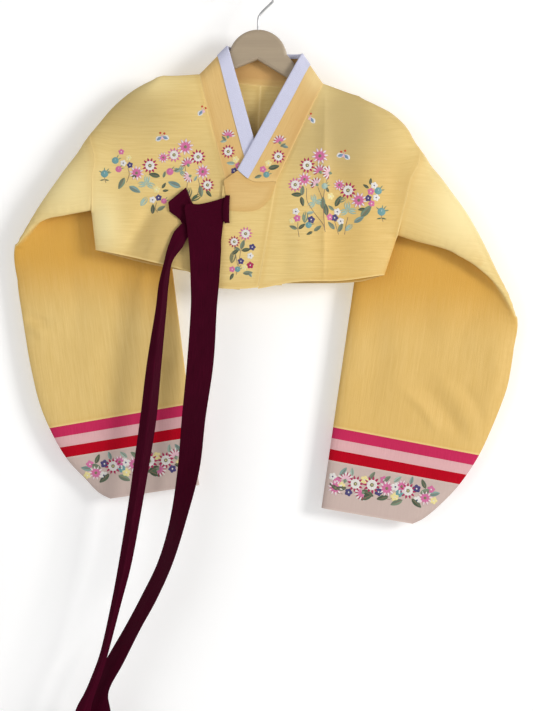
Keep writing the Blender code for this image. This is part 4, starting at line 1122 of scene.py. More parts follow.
LEFT_FRONT_MOTIFS = (
    ("layered", 91, -261, 11.0, 6, PINK),
    ("rayed", 72, -275, 11.2, 14, MAGENTA),
    ("layered", 68, -296, 9.5, 30, PINK),
    ("rayed", 54, -304, 10.3, 8, PINK),
    ("side", 91, -284, 9.5, 118, PINK),
    ("side", 105, -286, 9.5, 168, PALE),
    ("side", 86, -303, 9.0, 130, PALE),
    ("leaf", 64, -319, 14, 178, GREEN),
    ("leaf", 64, -320, 13, 84, GREY_GREEN),
    ("leaf", 63, -322, 13, -78, GREEN),
    ("leaf", 78, -308, 8, 70, GREEN),
    ("trefoil", 84, -330, 12.0, 110, PALE_TEAL),
    ("leaf", 95, -340, 16, 88, GREY_GREEN),
    ("leaf", 101, -350, 16, 96, GREEN),
    ("bud", 98, -306, 5.0, 0, PALE_TEAL),
    ("blossom", 107, -321, 4.9, 0, YELLOW),
    ("leaf", 104, -315, 9, 118, GREEN),
    ("blossom", 55, -344, 4.8, 0, WHITE),
    ("blossom", 57, -354, 4.9, 30, PINK),
    ("blossom", 49, -358, 4.0, 15, YELLOW),
    ("leaf", 57, -370, 11, 158, GREY_GREEN),
    ("leaf", 59, -370, 11, 38, GREEN),
    ("open_leaf", 68, -361, 16, 84, GREY_GREEN),
    ("leaf", 71, -347, 10, 12, PALE_TEAL),
    ("blossom", 78, -356, 5.1, 10, NAVY),
    ("bud", 74, -364, 5.2, 0, TEAL),
    ("leaf", 82, -373, 12, 36, GREY_GREEN),
    ("leaf", 80, -374, 9, 206, GREEN),
    ("stem", ((58, -360), (58, -370), (60, -382)), 0.8, BROWN),
    ("stem", ((97, -276), (102, -291), (99, -306), (96, -330), (98, -372)), 0.9, BROWN),
    ("stem", ((71, -309), (72, -328), (82, -345), (95, -362), (99, -374)), 0.9, BROWN),
    ("stem", ((88, -308), (94, -324), (97, -345)), 0.8, BROWN),
    ("layered", 120, -304, 7.7, 20, PINK),
    ("rayed", 133, -312, 11.7, 4, MAGENTA),
    ("layered", 149, -327, 10.8, 26, PINK),
    ("leaf", 164, -309, 9, 148, GREEN),
    ("leaf", 166, -304, 9, 84, GREEN),
    ("blossom", 172, -305, 4.8, 0, WHITE),
    ("blossom", 167, -314, 4.8, 10, PINK),
    ("bud", 178, -313, 6.0, 0, TEAL),
    ("blossom", 163, -324, 4.6, 20, NAVY),
    ("blossom", 175, -323, 4.8, 0, WHITE),
    ("blossom", 168, -332, 4.6, 35, PINK),
    ("leaf", 159, -340, 10, 186, GREEN),
    ("stem", ((166, -338), (163, -343), (158, -345)), 0.8, BROWN),
    ("sprig", 183, -344, 7.0, 78, TEAL),
    ("leaf", 152, -352, 21, 48, GREY_GREEN),
    ("leaf", 142, -360, 15, 30, DULL_TEAL),
    ("trefoil", 133, -342, 13.0, 96, PALE_TEAL),
    ("open_leaf", 116, -329, 14, 22, GREY_GREEN),
    ("leaf", 114, -336, 16, 62, GREEN),
    ("leaf", 112, -342, 10, 140, GREY_GREEN),
    ("blossom", 117, -344, 4.9, 0, WHITE),
    ("blossom", 106, -352, 4.8, 20, PINK),
    ("blossom", 113, -353, 5.1, 0, NAVY),
    ("blossom", 122, -358, 4.8, 30, WHITE),
    ("leaf", 113, -370, 13, 132, GREY_GREEN),
    ("leaf", 119, -374, 13, 66, GREY_GREEN),
    ("open_leaf", 129, -372, 13, 40, PALE_TEAL),
    ("stem", ((133, -352), (130, -364), (128, -378)), 0.9, BROWN),
    ("stem", ((113, -358), (116, -368), (119, -378)), 0.8, BROWN),
    ("butterfly", 127, -258, 10.0, -14, BLUE),
    ("butterfly", 77, -203, 9.5, -28, BLUE),
)
COLLAR_MOTIFS = (
    ("side", -46, -231, 9.0, 78, PINK),
    ("leaf", -48, -237, 9, 196, PALE_TEAL),
    ("leaf", -49, -239, 9, 128, GREY_GREEN),
    ("rayed", -46, -254, 9.9, 10, MAGENTA),
    ("blossom", -35, -266, 4.8, 0, YELLOW),
    ("leaf", -36, -272, 11, 176, PALE_TEAL),
    ("blossom", -31, -275, 4.2, 18, PINK),
    ("blossom", -37, -283, 4.6, 0, NAVY),
    ("leaf", -34, -290, 8, -120, GREY_GREEN),
    ("side", 31, -240, 9.0, 104, PINK),
    ("leaf", 33, -245, 10, -18, DULL_TEAL),
    ("leaf", 32, -247, 8, 30, GREY_GREEN),
    ("rayed", 29, -262, 9.9, 0, MAGENTA),
    ("blossom", 14, -272, 4.6, 12, YELLOW),
    ("leaf", 14, -280, 15, 14, GREEN),
    ("blossom", 6, -281, 4.6, 0, PINK),
    ("bud", 11, -289, 5.0, 0, TEAL),
    ("leaf", 4, -290, 10, 200, GREY_GREEN),
    ("stem", ((12, -282), (4, -290), (-3, -300)), 0.8, BROWN),
)
OVERLAP_MOTIFS = (
    ("rayed", -20, -377, 9.9, 6, PINK),
    ("rayed", -37, -389, 8.6, 20, MAGENTA),
    ("leaf", -27, -400, 13, 70, GREY_GREEN),
    ("leaf", -26, -402, 12, 8, GREEN),
    ("leaf", -28, -402, 9, 150, GREY_GREEN),
    ("blossom", -10, -397, 4.6, 0, NAVY),
    ("blossom", -13, -410, 4.4, 0, WHITE),
    ("open_leaf", -41, -421, 17, 78, OLIVE),
    ("leaf", -40, -408, 12, 40, GREEN),
    ("blossom", -27, -418, 4.4, 15, NAVY),
    ("blossom", -22, -427, 4.4, 0, YELLOW),
    ("blossom", -13, -424, 4.8, 20, MAGENTA),
    ("bud", -32, -430, 4.6, 0, TEAL),
    ("blossom", -40, -430, 4.2, 0, PINK),
    ("leaf", -38, -436, 10, -118, GREEN),
    ("leaf", -24, -436, 13, 4, GREY_GREEN),
    ("leaf", -16, -433, 9, -60, DULL_TEAL),
    ("stem", ((-22, -388), (-27, -402), (-30, -420), (-34, -438)), 0.8, BROWN),
    ("stem", ((-37, -398), (-34, -412), (-32, -424)), 0.8, BROWN),
)
CUFF_ROW = (
    # kind, along the ring, past the stripe, size, turn, colour
    ("blossom", 8, 24, 4.4, 0, WHITE),
    ("leaf", 6, 33, 11, -120, GREY_GREEN),
    ("blossom", 15, 30, 4.8, 20, PINK),
    ("leaf", 18, 22, 12, 60, DULL_TEAL),
    ("side", 27, 26, 9.0, 80, PALE),
    ("leaf", 30, 38, 13, 190, GREEN),
    ("rayed", 42, 30, 9.5, 8, MAGENTA),
    ("leaf", 53, 38, 14, -20, GREEN),
    ("blossom", 54, 22, 4.6, 0, YELLOW),
    ("rayed", 66, 28, 10.3, 20, MAGENTA),
    ("blossom", 77, 37, 4.6, 0, NAVY),
    ("leaf", 79, 22, 12, 40, GREY_GREEN),
    ("layered", 88, 30, 9.0, 5, PINK),
    ("leaf", 92, 42, 13, 200, GREEN),
    ("blossom", 100, 26, 4.9, 10, WHITE),
    ("blossom", 107, 34, 4.6, 0, TEAL),
    ("rayed", 119, 29, 9.5, 0, MAGENTA),
    ("leaf", 126, 40, 14, -35, GREEN),
    ("blossom", 131, 24, 4.6, 30, NAVY),
    ("leaf", 137, 30, 13, 25, GREY_GREEN),
    ("layered", 145, 36, 8.1, 12, PINK),
    ("leaf", 150, 30, 12, 15, DULL_TEAL),
    ("blossom", 158, 38, 4.2, 0, YELLOW),
    ("layered", 14, 40, 8.5, 30, PINK),
    ("blossom", 22, 36, 4.6, 15, YELLOW),
    ("leaf", 20, 44, 13, 150, GREEN),
    ("leaf", 36, 19, 9, 100, PALE_TEAL),
    ("blossom", 34, 44, 4.4, 0, NAVY),
    ("side", 54, 42, 8.5, 215, PINK),
    ("leaf", 61, 20, 10, 60, GREY_GREEN),
    ("leaf", 68, 43, 14, 210, GREEN),
    ("blossom", 82, 18, 4.4, 10, PINK),
    ("leaf", 97, 19, 10, 45, PALE_TEAL),
    ("blossom", 101, 41, 4.8, 30, YELLOW),
    ("layered", 109, 24, 7.5, 0, PINK),
    ("leaf", 113, 44, 14, -150, GREY_GREEN),
    ("leaf", 121, 19, 9, 80, DULL_TEAL),
    ("blossom", 134, 41, 4.6, 0, WHITE),
    ("leaf", 144, 22, 11, 120, GREEN),
    ("blossom", 152, 22, 4.4, 12, PINK),
    ("leaf", 3, 26, 12, 170, GREEN),
    ("stem", ((12, 30), (18, 46), (28, 48)), 0.8, BROWN),
    ("stem", ((84, 40), (97, 46), (108, 40)), 0.8, BROWN),
)


FULLNESS = {
    "rayed": 1.05, "layered": 1.16, "side": 1.16, "blossom": 1.16, "bud": 1.06, "leaf": 1.12,
    "trefoil": 1.22, "open_leaf": 1.08,
}  # fmt: skip
CUFF_FULLNESS = 1.24
SPRIG_BEND = 0.0005  # of a sprig's stem to one side, the same at every size


class Embroidery:
    """Satin stitches in low relief on the side of one piece that faces forward.

    They are all in one mesh, with a colour for each point, and none lies deeper than a given y.
    A stitch's and a disc's places and sizes are shares of the size of the motif they belong to.
    """

    LIFT = 0.0001  # a stitch's edge lies this far above the cloth
    STEEPEST = 0.004  # a stitch whose points lie deeper apart than this runs off the cloth's edge

    def __init__(self, piece, deepest):
        mesh = piece.data
        points = [vertex.co for vertex in mesh.vertices]
        self.tree = BVHTree.FromPolygons(points, [list(face.vertices) for face in mesh.polygons])
        self.deepest = deepest
        self.points, self.faces, self.colours, self.grain = [], [], [], []
        self.middle, self.size = np.zeros(2), 1.0

    def patch(self, grid, heights, colours, grain):
        """A domed patch on a grid of points; it is left out where the cloth ends under it."""
        placed = []
        for (x, z), height in zip(grid.reshape(-1, 2), heights.reshape(-1)):
            place, normal, _, _ = self.tree.ray_cast(Vector((x, -1, z)), Vector((0, 1, 0)))
            if place is None or place.y > self.deepest:
                return
            placed.append(place + normal * (self.LIFT + height))
        depths = [point.y for point in placed]
        if max(depths) - min(depths) > self.STEEPEST:
            return
        ids = len(self.points) + np.arange(heights.size).reshape(heights.shape)
        self.points += placed
        self.colours += np.broadcast_to(colours, (*heights.shape, 3)).reshape(-1, 3).tolist()
        self.grain += grain.reshape(-1, 2).tolist()
        self.faces += grid_quads(ids, False).tolist()

    def stitch(self, turn, length, width, colour, start=0.0, tip=None, fullness=0.8,
               height=0.00045, bend=0.0, foot=(0, 0)):  # fmt: skip
        """A petal or leaf from a point outward: its turn, size, and colours at its foot and tip."""
        t = np.linspace(0, 1, 8)
        s = np.array((-1, -0.62, 0, 0.62, 1))
        along = t * length * self.size
        half = width * self.size / 2 * np.maximum(np.sin(math.pi * t**fullness), 0.03) ** 0.8
        angle = np.radians(turn + bend * t)
        ahead = np.column_stack((np.cos(angle), np.sin(angle)))
        line = np.vstack(((0, 0), np.cumsum(ahead[:-1] * along[1], axis=0)))
        line = line + self.middle + self.size * (np.array(foot) + ahead[0] * start)
        grid = line[:, None] + (turned_left(ahead) * half[:, None])[:, None] * s[None, :, None]
        rise = np.sin(math.pi * np.clip(t, 0.06, 0.94))[:, None] ** 0.5
        shades = between(colour, tip or colour, eased((t - 0.35) / 0.3))[:, None]
        grain = paired(along[:, None], half[:, None] * s)
        self.patch(grid, height * np.sqrt(np.clip(1 - s**2, 0, 1)) * rise, shades, grain)

    def disc(self, radius, colour, height=0.0008, at=(0, 0)):
        """A round of satin stitches."""
        t = 2 * np.linspace(0.02, 0.98, 7)[:, None] - 1
        s = np.array((-1, -0.6, 0, 0.6, 1))
        radius = radius * self.size
        half = np.sqrt(1 - t**2)
        grid = self.middle + self.size * np.array(at) + paired(radius * half * s, radius * t)
        self.patch(grid, height * np.sqrt(np.clip(1 - s**2, 0, 1)) * half, colour, grid)

    def stem(self, path, width, colour):
        line = through(path, 8)[1]
        s = np.array((-1, 0, 1)) * width / 2
        sideways = turned_left(unit(np.gradient(line, axis=0)))
        grid = line[:, None] + sideways[:, None] * s[None, :, None]
        heights = np.broadcast_to(np.array((0, 0.0003, 0)), (len(line), 3))
        self.patch(grid[:, ::-1], heights, colour, paired(runs_along(line)[:, None], s))

    def rayed(self, turn, colour):
        """A daisy with white rays and dark pointed tips round an olive ring."""
        for at in turn + np.arange(11) * 360 / 11:
            self.stitch(at, 0.52, 0.25, WHITE, 0.20)
            self.stitch(at, 0.50, 0.26, colour, 0.52, fullness=0.62, height=0.0006)
            self.stitch(at + 180 / 11, 0.36, 0.13, WHITE, 0.34)
        self.disc(0.22, OLIVE)
        self.disc(0.11, YELLOW, 0.0011)

    def layered(self, turn, colour):
        """A daisy with coloured rays that edge long white lobes."""
        for at in turn + np.arange(10) * 36:
            self.stitch(at, 0.86, 0.34, colour, 0.14)
            self.stitch(at, 0.54, 0.23, WHITE, 0.44, height=0.0007)
        self.disc(0.19, OLIVE)

    def side(self, turn, colour):
        """A daisy seen from its side: a fan of rays on a small cup."""
        for at in turn - 75 + np.arange(6) * 30:
            self.stitch(at, 0.95, 0.30, colour, 0.1, WHITE)
            self.stitch(at + 15, 0.5, 0.16, MAGENTA, 0.45, height=0.0006)
        self.stitch(turn + 180, 0.5, 0.42, GREY_GREEN, -0.1, height=0.0007)

    def blossom(self, turn, colour):
        """A small flower of five round petals."""
        for at in turn + np.arange(5) * 72:
            self.stitch(at, 1, 0.85, colour, fullness=1.25)
        self.disc(0.22, NAVY if colour == WHITE else WHITE)

    def bud(self, turn, colour):
        self.disc(0.88, colour, 0.0007)
        paler = tuple(0.5 * value + 0.35 for value in colour)
        self.stitch(turn + 90, 0.8, 0.3, paler, -0.2, height=0.0009)
        for at in (turn + 12, turn + 50):
            self.stitch(at, 0.9, 0.26, GREY_GREEN, 0.75)

    def sprig(self, turn, colour):
        """A bud between three narrow leaves, on a short forked stem."""
        for at in (turn - 62, turn, turn + 62):
            self.stitch(at, 0.9, 0.28, GREY_GREEN, 0.6)
        self.bud(0, colour)
        path = np.array(((0, -0.8), (SPRIG_BEND / self.size, -1.4), (0.35, -2.1)))
        self.stem(self.middle + self.size * path, 0.0008, BROWN)
        for at in (-12, 192):
            self.stitch(at, 1.1, 0.3, GREEN, foot=(0, -1.35))

    def leaf(self, turn, colour):
        """A leaf of slanting stitches on each side of its rib."""
        darker = tuple(value * 0.72 for value in colour)
        self.stitch(turn + 9, 1, 0.34, colour, bend=-18, height=0.0005)
        self.stitch(turn - 9, 1, 0.34, darker, bend=18, height=0.0005)
        self.stitch(turn, 0.92, 0.07, BROWN, height=0.0008)

    def open_leaf(self, turn, colour):
        """A leaf drawn in stem stitch, with its rib."""
        for bend, out in ((-70, 35), (70, -35), (0, 0)):
            self.stitch(turn + out, 1.05, 0.12, colour, bend=bend, height=0.0005)
        self.stitch(turn + 12, 0.6, 0.2, colour, 0.2)

    def trefoil(self, turn, colour):
        """Three open lobes round a point."""
        for at in (turn - 105, turn, turn + 105):
            for bend, out in ((-80, 42), (80, -42)):
                self.stitch(at + out, 0.95, 0.13, colour, bend=bend)
            self.stitch(at, 0.62, 0.22, colour, 0.12)

    def butterfly(self, turn, colour):
        """Two wings with white rims, a thin body and two feelers with round ends."""
        for side in (-1, 1):
            at = turn - 90 + side * 62
            self.stitch(at, 1.15, 0.80, WHITE, fullness=1.3)
            self.stitch(at - side * 4, 0.94, 0.56, colour, 0.06, fullness=1.1, height=0.0007)
            self.stitch(at - side * 42, 0.55, 0.3, PALE)
            tip = math.radians(turn + 90 + side * 34)
            end = np.array((-math.cos(tip), math.sin(tip))) * 0.55
            self.stem(self.middle + self.size * np.outer((0, 0.5, 1), end), 0.0006, PALE)
            self.disc(0.17, RED, at=end)
        self.stitch(turn - 90, 0.7, 0.14, PALE, -0.2)

    def sew(self, motifs):
        """Motifs as the tables give them, in millimetres."""
        for kind, *values in motifs:
            if kind == "stem":
                path, width, colour = values
                self.stem(mm(*path), width / 1000, colour)
            else:
                x, z, size, turn, colour = values
                self.middle = np.array((x, z)) / 1000
                self.size = size * FULLNESS.get(kind, 1) / 1000
                getattr(self, kind)(turn, colour)

    def piece(self, name, material, slot):
        points = [tuple(point) for point in self.points]
        made = smooth_mesh(name, points, self.faces, self.grain, angle=None)
        colours = made.data.color_attributes.new("thread", "FLOAT_COLOR", "POINT")
        rgba = np.column_stack((np.array(self.colours), np.ones(len(self.colours))))
        colours.data.foreach_set("color", rgba.astype(np.float32).ravel())
        return finished(made, material, ())


def cuff_motifs(hang):
    """The cuff's row of flowers, turned with the sleeve and placed from the red stripe."""
    outward, downward = sleeve_axes(hang)
    hung_down = downward - 2 * past_fold(hang, hang.fold_point + downward) * fold_axes(hang)[1]
    tilt = math.degrees(math.atan2(hung_down[1], hung_down[0]))
    motifs = []

    def placed(along, past):
        flat = hang.armhole_top + outward * (SLEEVE_LENGTH - CUFF + past / 1000)
        return tuple(turned_back(hang, (flat + downward * along / 1000)[None])[0] * 1000)

    for kind, *values in CUFF_ROW:
        if kind == "stem":
            path, width, colour = values
            motifs.append((kind, [placed(*place) for place in path], width, colour))
        else:
            along, past, size, turn, colour = values
            place = placed(along * 1.04 + 1, past)
            motifs.append((kind, *place, size * CUFF_FULLNESS, tilt + hang.sign * turn, colour))
    return motifs


# Hook

WIRE = 0.00175
HOOK_RADIUS = 0.0225
HOOK_TIP = 186  # degrees turned from pointing right
HOOK_SHANK = mm(
    (-1.2, -92), (-1.1, -72), (-1, -56), (0.3, -50), (4.5, -43.8), (13, -35.4), (20.3, -28.4),
)  # fmt: skip


def make_hook(material):
    """The hook's wire on a smooth line, with a rounded tip."""
    turn = np.radians(np.arange(-6, HOOK_TIP + 1, 6))
    bend = (0, WIRE + SEAM - HOOK_RADIUS) + HOOK_RADIUS * paired(np.cos(turn), np.sin(turn))
    flat = np.vstack((through(HOOK_SHANK, 6)[1], bend))
    cap = np.array((0.5, 0.87, 0.99))
    flat = np.vstack((flat, flat[-1] + unit(flat[-1] - flat[-2]) * WIRE * cap[:, None]))
    radii = np.full(len(flat), WIRE)
    radii[-3:] = WIRE * np.sqrt(1 - cap**2)
    path = np.column_stack((flat[:, 0], np.zeros(len(flat)), flat[:, 1]))
    side = unit(np.cross(np.gradient(path, axis=0), (0, 1, 0)))
    turn = np.linspace(0, 2 * math.pi, 17)[:-1, None]
    ring = np.cos(turn) * side[:, None] + np.sin(turn) * (0, 1, 0)
    points = path[:, None] + radii[:, None, None] * ring
    ids = np.arange(len(path) * 16).reshape(-1, 16)
    faces = [*grid_quads(np.hstack((ids, ids[:, :1])), True), ids[0][::-1], ids[-1]]
    piece = smooth_mesh("hook_wire", points.reshape(-1, 3), faces)
    return finished(piece, material, ["hanger_hook"])


# Materials


class Nodes:
    """Short ways to add nodes to one material."""

    def __init__(self, name):
        self.material = bpy.data.materials.new(name)
        self.material.use_nodes = True
        self.tree = self.material.node_tree
        self.shader = self.tree.nodes["Principled BSDF"]

    def add(self, kind, inputs=None, **settings):
        node = self.tree.nodes.new(kind)
        for key, value in settings.items():
            setattr(node, key, value)
        for key, value in (inputs or {}).items():
            self.put(node.inputs[key], value)
        return node

    def put(self, socket, value):
        if isinstance(value, bpy.types.NodeSocket):
            self.tree.links.new(value, socket)
        else:
            socket.default_value = value

    def grain(self, along, across, shift=0.0):
        """The cloth's own coordinates, scaled along and across its threads."""
        source = self.add("ShaderNodeUVMap", uv_map="grain")
        inputs = {"Scale": (along, across, 1), "Location": (shift, shift, 0)}
        scaled = self.add("ShaderNodeMapping", {"Vector": source.outputs[0], **inputs})
        return scaled.outputs[0]

    def noise(self, vector, scale=1.0, detail=3.0, rough=0.55, dimensions="2D"):
        node = self.add(
            "ShaderNodeTexNoise",
            {"Vector": vector, "Scale": scale, "Detail": detail, "Roughness": rough},
            noise_dimensions=dimensions,
        )
        return node.outputs[0]

    def value(self, name):
        return self.add("ShaderNodeAttribute", attribute_name=name).outputs["Fac"]

    def span(self, value, low, high, to_low=0.0, to_high=1.0):
        node = self.add("ShaderNodeMapRange", {0: value, 1: low, 2: high, 3: to_low, 4: to_high})
        return node.outputs[0]

    def mix(self, share, a, b, blend="MIX"):
        a, b = ((*value, 1) if isinstance(value, tuple) else value for value in (a, b))
        node = self.add("ShaderNodeMix", {0: share, 6: a, 7: b}, data_type="RGBA", blend_type=blend)
        return node.outputs[2]

    def times(self, a, b):
        return self.add("ShaderNodeMath", {0: a, 1: b}, operation="MULTIPLY").outputs[0]

    def plus(self, a, b):
        return self.add("ShaderNodeMath", {0: a, 1: b}, operation="ADD").outputs[0]

    def bump(self, height, distance, strength=1.0, below=None):
        inputs = {"Height": height, "Distance": distance, "Strength": strength}
        if below is not None:
            inputs["Normal"] = below
        return self.add("ShaderNodeBump", inputs).outputs[0]

    def finish(self, colour, roughness, normal=None, **constants):
        self.put(self.shader.inputs["Base Color"], colour)
        self.put(self.shader.inputs["Roughness"], roughness)
        if normal is not None:
            self.put(self.shader.inputs["Normal"], normal)
        for key, value in constants.items():
            self.shader.inputs[key.replace("_", " ")].default_value = value
        return self.material


def silk(name, light, dark, rim, glow, olive, painted_light=(0.93, 0.785, 0.40), slub=0.5, sheen=0.25):
    """Slubbed silk: streaks along the weft, a fine weave, deeper colour at the seams, and painted
    light and shade.
    """
    n = Nodes(name)
    streak = n.noise(n.grain(28, 620), detail=4.0, rough=0.6)
    long_streak = n.noise(n.grain(9, 260, 3.7), detail=2.0)
    cloud = n.noise(n.grain(7, 7, 1.9), detail=2.0)
    weave = n.noise(n.grain(1500, 1900), detail=1.0)
    share = n.times(n.span(streak, 0.34, 0.70), slub)
    share = n.plus(share, n.times(n.span(long_streak, 0.35, 0.7), slub * 0.6))
    colour = n.mix(share, light, dark)
    colour = n.mix(n.span(cloud, 0.3, 0.7, 0.0, 0.22), colour, dark)
    # A paler tint for the painted highlight along the seams
    paler = tuple(min(1.0, 1.08 * value + 0.02) for value in light)
    # Besides the seam allowance that shows through, these mixes paint light and shade: shade and
    # warm glow under upper layers, greener shade in zones, zones of light, and a highlight along
    # each seam
    for key, strength, tint in (
        ("rim", 0.45, rim), ("under", 0.85, glow), ("painted_shade", 0.9, olive), ("painted_light", 0.9, painted_light),
        ("edge", 0.7, paler),
    ):  # fmt: skip
        colour = n.mix(n.times(n.value(key), strength), colour, tint)
    height = n.plus(n.times(streak, 0.8), n.times(weave, 0.35))
    height = n.plus(height, n.times(n.value("rim"), 0.9))
    rough = n.span(streak, 0.3, 0.75, 0.52, 0.66)
    return n.finish(
        colour, rough, n.bump(height, 0.0006, 0.55), Sheen_Weight=sheen, Sheen_Roughness=0.4,
        Sheen_Tint=(*light, 1), Specular_IOR_Level=0.35,
    )  # fmt: skip


def satin(name, light, dark, rough=0.5, specular=0.06):
    """Close satin: fine threads along its length and slight changes of colour."""
    n = Nodes(name)
    thread = n.noise(n.grain(40, 1700), detail=3.0)
    cloud = n.noise(n.grain(16, 30, 5.1), detail=2.0)
    colour = n.mix(n.span(thread, 0.3, 0.72), light, dark)
    colour = n.mix(n.span(cloud, 0.3, 0.7, 0.0, 0.3), colour, dark)
    height = n.plus(thread, n.times(n.value("rim"), 0.8))
    return n.finish(
        colour, n.span(thread, 0.3, 0.7, rough - 0.05, rough + 0.08), n.bump(height, 0.0005, 0.4),
        Specular_IOR_Level=specular,
    )  # fmt: skip


def stiff_paper_cloth(name):
    """White strip with a faint crackled pattern in its weave."""
    n = Nodes(name)
    cells = n.add("ShaderNodeTexVoronoi", {"Vector": n.grain(420, 420), "Scale": 1.0},
                  feature="DISTANCE_TO_EDGE", voronoi_dimensions="2D")  # fmt: skip
    vein = n.span(cells.outputs["Distance"], 0.0, 0.13)
    cloud = n.noise(n.grain(60, 60), detail=3.0)
    weave = n.noise(n.grain(1600, 1600), detail=1.0)
    colour = n.mix(vein, (0.52, 0.52, 0.66), (0.64, 0.65, 0.82))
    colour = n.mix(n.span(cloud, 0.3, 0.7, 0.0, 0.35), colour, (0.58, 0.585, 0.74))
    height = n.plus(n.times(vein, 0.8), n.times(weave, 0.4))
    return n.finish(
        colour, n.span(cloud, 0.3, 0.7, 0.42, 0.55), n.bump(height, 0.0003, 0.5),
        Sheen_Weight=0.1, Specular_IOR_Level=0.45,
    )  # fmt: skip


def wood(name):
    """Pale greyish wood with fine straight grain."""
    n = Nodes(name)
    place = n.add("ShaderNodeTexCoord").outputs["Object"]
    stretched = n.add("ShaderNodeMapping", {"Vector": place, "Scale": (14, 300, 420)}).outputs[0]
    fine = n.noise(stretched, detail=5.0, dimensions="3D")
    broad = n.add("ShaderNodeMapping", {"Vector": place, "Scale": (5, 60, 95)}).outputs[0]
    bands = n.noise(broad, detail=3.0, dimensions="3D")
    colour = n.mix(n.span(bands, 0.35, 0.68), (0.40, 0.315, 0.215), (0.365, 0.285, 0.195))
    colour = n.mix(n.span(fine, 0.45, 0.75, 0.0, 0.25), colour, (0.32, 0.25, 0.17))
    return n.finish(
        colour, n.span(fine, 0.3, 0.7, 0.38, 0.55), n.bump(fine, 0.0004, 0.35),
        Coat_Weight=0.12, Coat_Roughness=0.35,
    )  # fmt: skip


def steel(name):
    n = Nodes(name)
    place = n.add("ShaderNodeTexCoord").outputs["Object"]
    drawn = n.noise(place, scale=900.0, detail=3.0, dimensions="3D")
    cloud = n.noise(place, scale=140.0, detail=2.0, dimensions="3D")
    colour = n.mix(n.span(cloud, 0.3, 0.7), (0.42, 0.42, 0.43), (0.60, 0.60, 0.61))
    return n.finish(
        colour, n.span(drawn, 0.3, 0.7, 0.26, 0.42), n.bump(drawn, 0.0001, 0.3), Metallic=1.0,
    )  # fmt: skip


def plaster(name, colour, darker, glow):
    n = Nodes(name)
    n.shader.inputs["Emission Color"].default_value = (*colour, 1)
    n.shader.inputs["Emission Strength"].default_value = glow
    place = n.add("ShaderNodeTexCoord").outputs["Object"]
    cloud = n.noise(place, scale=3.0, detail=3.0, dimensions="3D")
    grit = n.noise(place, scale=180.0, detail=2.0, dimensions="3D")
    return n.finish(
        n.mix(n.span(cloud, 0.3, 0.7), colour, darker), n.span(grit, 0.3, 0.7, 0.85, 0.95),
        n.bump(grit, 0.0005, 0.05),
    )  # fmt: skip


def thread(name):
    """Silk embroidery thread: each stitch's own colour, with fine strands along it."""
    n = Nodes(name)
    own = n.add("ShaderNodeAttribute", attribute_name="thread").outputs["Color"]
    strand = n.noise(n.grain(90, 2600), detail=2.0)
    darker = n.mix(1.0, own, (0.74, 0.74, 0.74), "MULTIPLY")
    colour = n.mix(n.span(strand, 0.35, 0.68, 0.0, 0.8), own, darker)
    return n.finish(
        colour, n.span(strand, 0.3, 0.7, 0.34, 0.52), n.bump(strand, 0.0004, 0.6),
        Sheen_Weight=0.15, Sheen_Roughness=0.3, Specular_IOR_Level=0.45,
    )  # fmt: skip


def make_embroidery(pieces):
    material = thread("embroidery_thread")
    made = {}
    for node, motifs, deepest, slot in (
        ("body_right", RIGHT_FRONT_MOTIFS, 0.0, "yellow_cloth"),
        ("body_left", LEFT_FRONT_MOTIFS, 0.0, "yellow_cloth"),
        ("git", COLLAR_MOTIFS, 0.0, "collar_cloth"),
        ("seop_outer", OVERLAP_MOTIFS, 0.0, "yellow_cloth"),
        ("cuff_band_right", cuff_motifs(RIGHT), 0.030, "cuff_cloth"),
        ("cuff_band_left", cuff_motifs(LEFT), 0.030, "cuff_cloth"),
    ):
        work = Embroidery(pieces[node], deepest)
        work.sew(motifs)
        made[node] = work.piece(f"{node}_flowers", material, slot)
    return made


# Stage


def open_behind(material):
    """Lets the view pass through a backdrop from its far side, so that the back can be seen."""
    nodes, links = material.node_tree.nodes, material.node_tree.links
    mix = nodes.new("ShaderNodeMixShader")
    for i, output in enumerate((
        nodes.new("ShaderNodeNewGeometry").outputs["Backfacing"],
        nodes["Principled BSDF"].outputs[0],
        nodes.new("ShaderNodeBsdfTransparent").outputs[0],
    )):  # fmt: skip
        links.new(output, mix.inputs[i])
    links.new(mix.outputs[0], nodes["Material Output"].inputs["Surface"])


def make_stage():
    for name, edges, colour, glow in (
        ("wall", ((WALL_Y, FLOOR_Z), (WALL_Y, 3)), 0.93, 0.15),
        ("floor", ((-5, FLOOR_Z), (5, FLOOR_Z)), 0.80, 0.0),
    ):
        near, far = edges
        reach = STAGE_REACH
        corners = ((-reach, *near), (reach, *near), (reach, *far), (-reach, *far))
        mesh = bpy.data.meshes.new(name)
        mesh.from_pydata(corners, [], [(0, 1, 2, 3)])
        mesh.materials.append(plaster(name, (colour,) * 3, (colour - 0.008,) * 3, glow))
        plane = add_object(name, mesh)
        if name == "wall":
            plane.visible_diffuse = plane.visible_glossy = plane.visible_shadow = False
            open_behind(mesh.materials[0])


def add_light(name, place, target_z, size, power, colour):
    data = bpy.data.lights.new(name, "AREA")
    data.shape = "RECTANGLE"
    data.size = data.size_y = size
    data.energy = power
    data.color = colour
    light = add_object(name, data)
    light.location = place
    toward = Vector((0, 0, target_z)) - Vector(place)
    light.rotation_euler = toward.to_track_quat("-Z", "Y").to_euler()
    light.visible_camera = False


def make_lights():
    for row in (
        # name, place, height that it points at, side of the square, watts, colour
        ("key", (3.9, -3.2, 0.25), -0.5, 1.5, 138, (1.0, 0.985, 0.96)),
        ("fill", (-2.4, -3.0, 0.1), -0.6, 2.6, 27, (0.97, 0.98, 1.0)),
        ("back", (2.6, 3.4, 0.6), -0.6, 2.4, 70, (1.0, 0.99, 0.97)),
    ):
        add_light(*row)
    world = bpy.data.worlds.new("studio")
    world.use_nodes = True
    background = world.node_tree.nodes["Background"]
    background.inputs["Color"].default_value = (1, 1, 1, 1)
    background.inputs["Strength"].default_value = 0.48
    bpy.context.scene.world = world
    bpy.context.scene.view_settings.view_transform = "Standard"


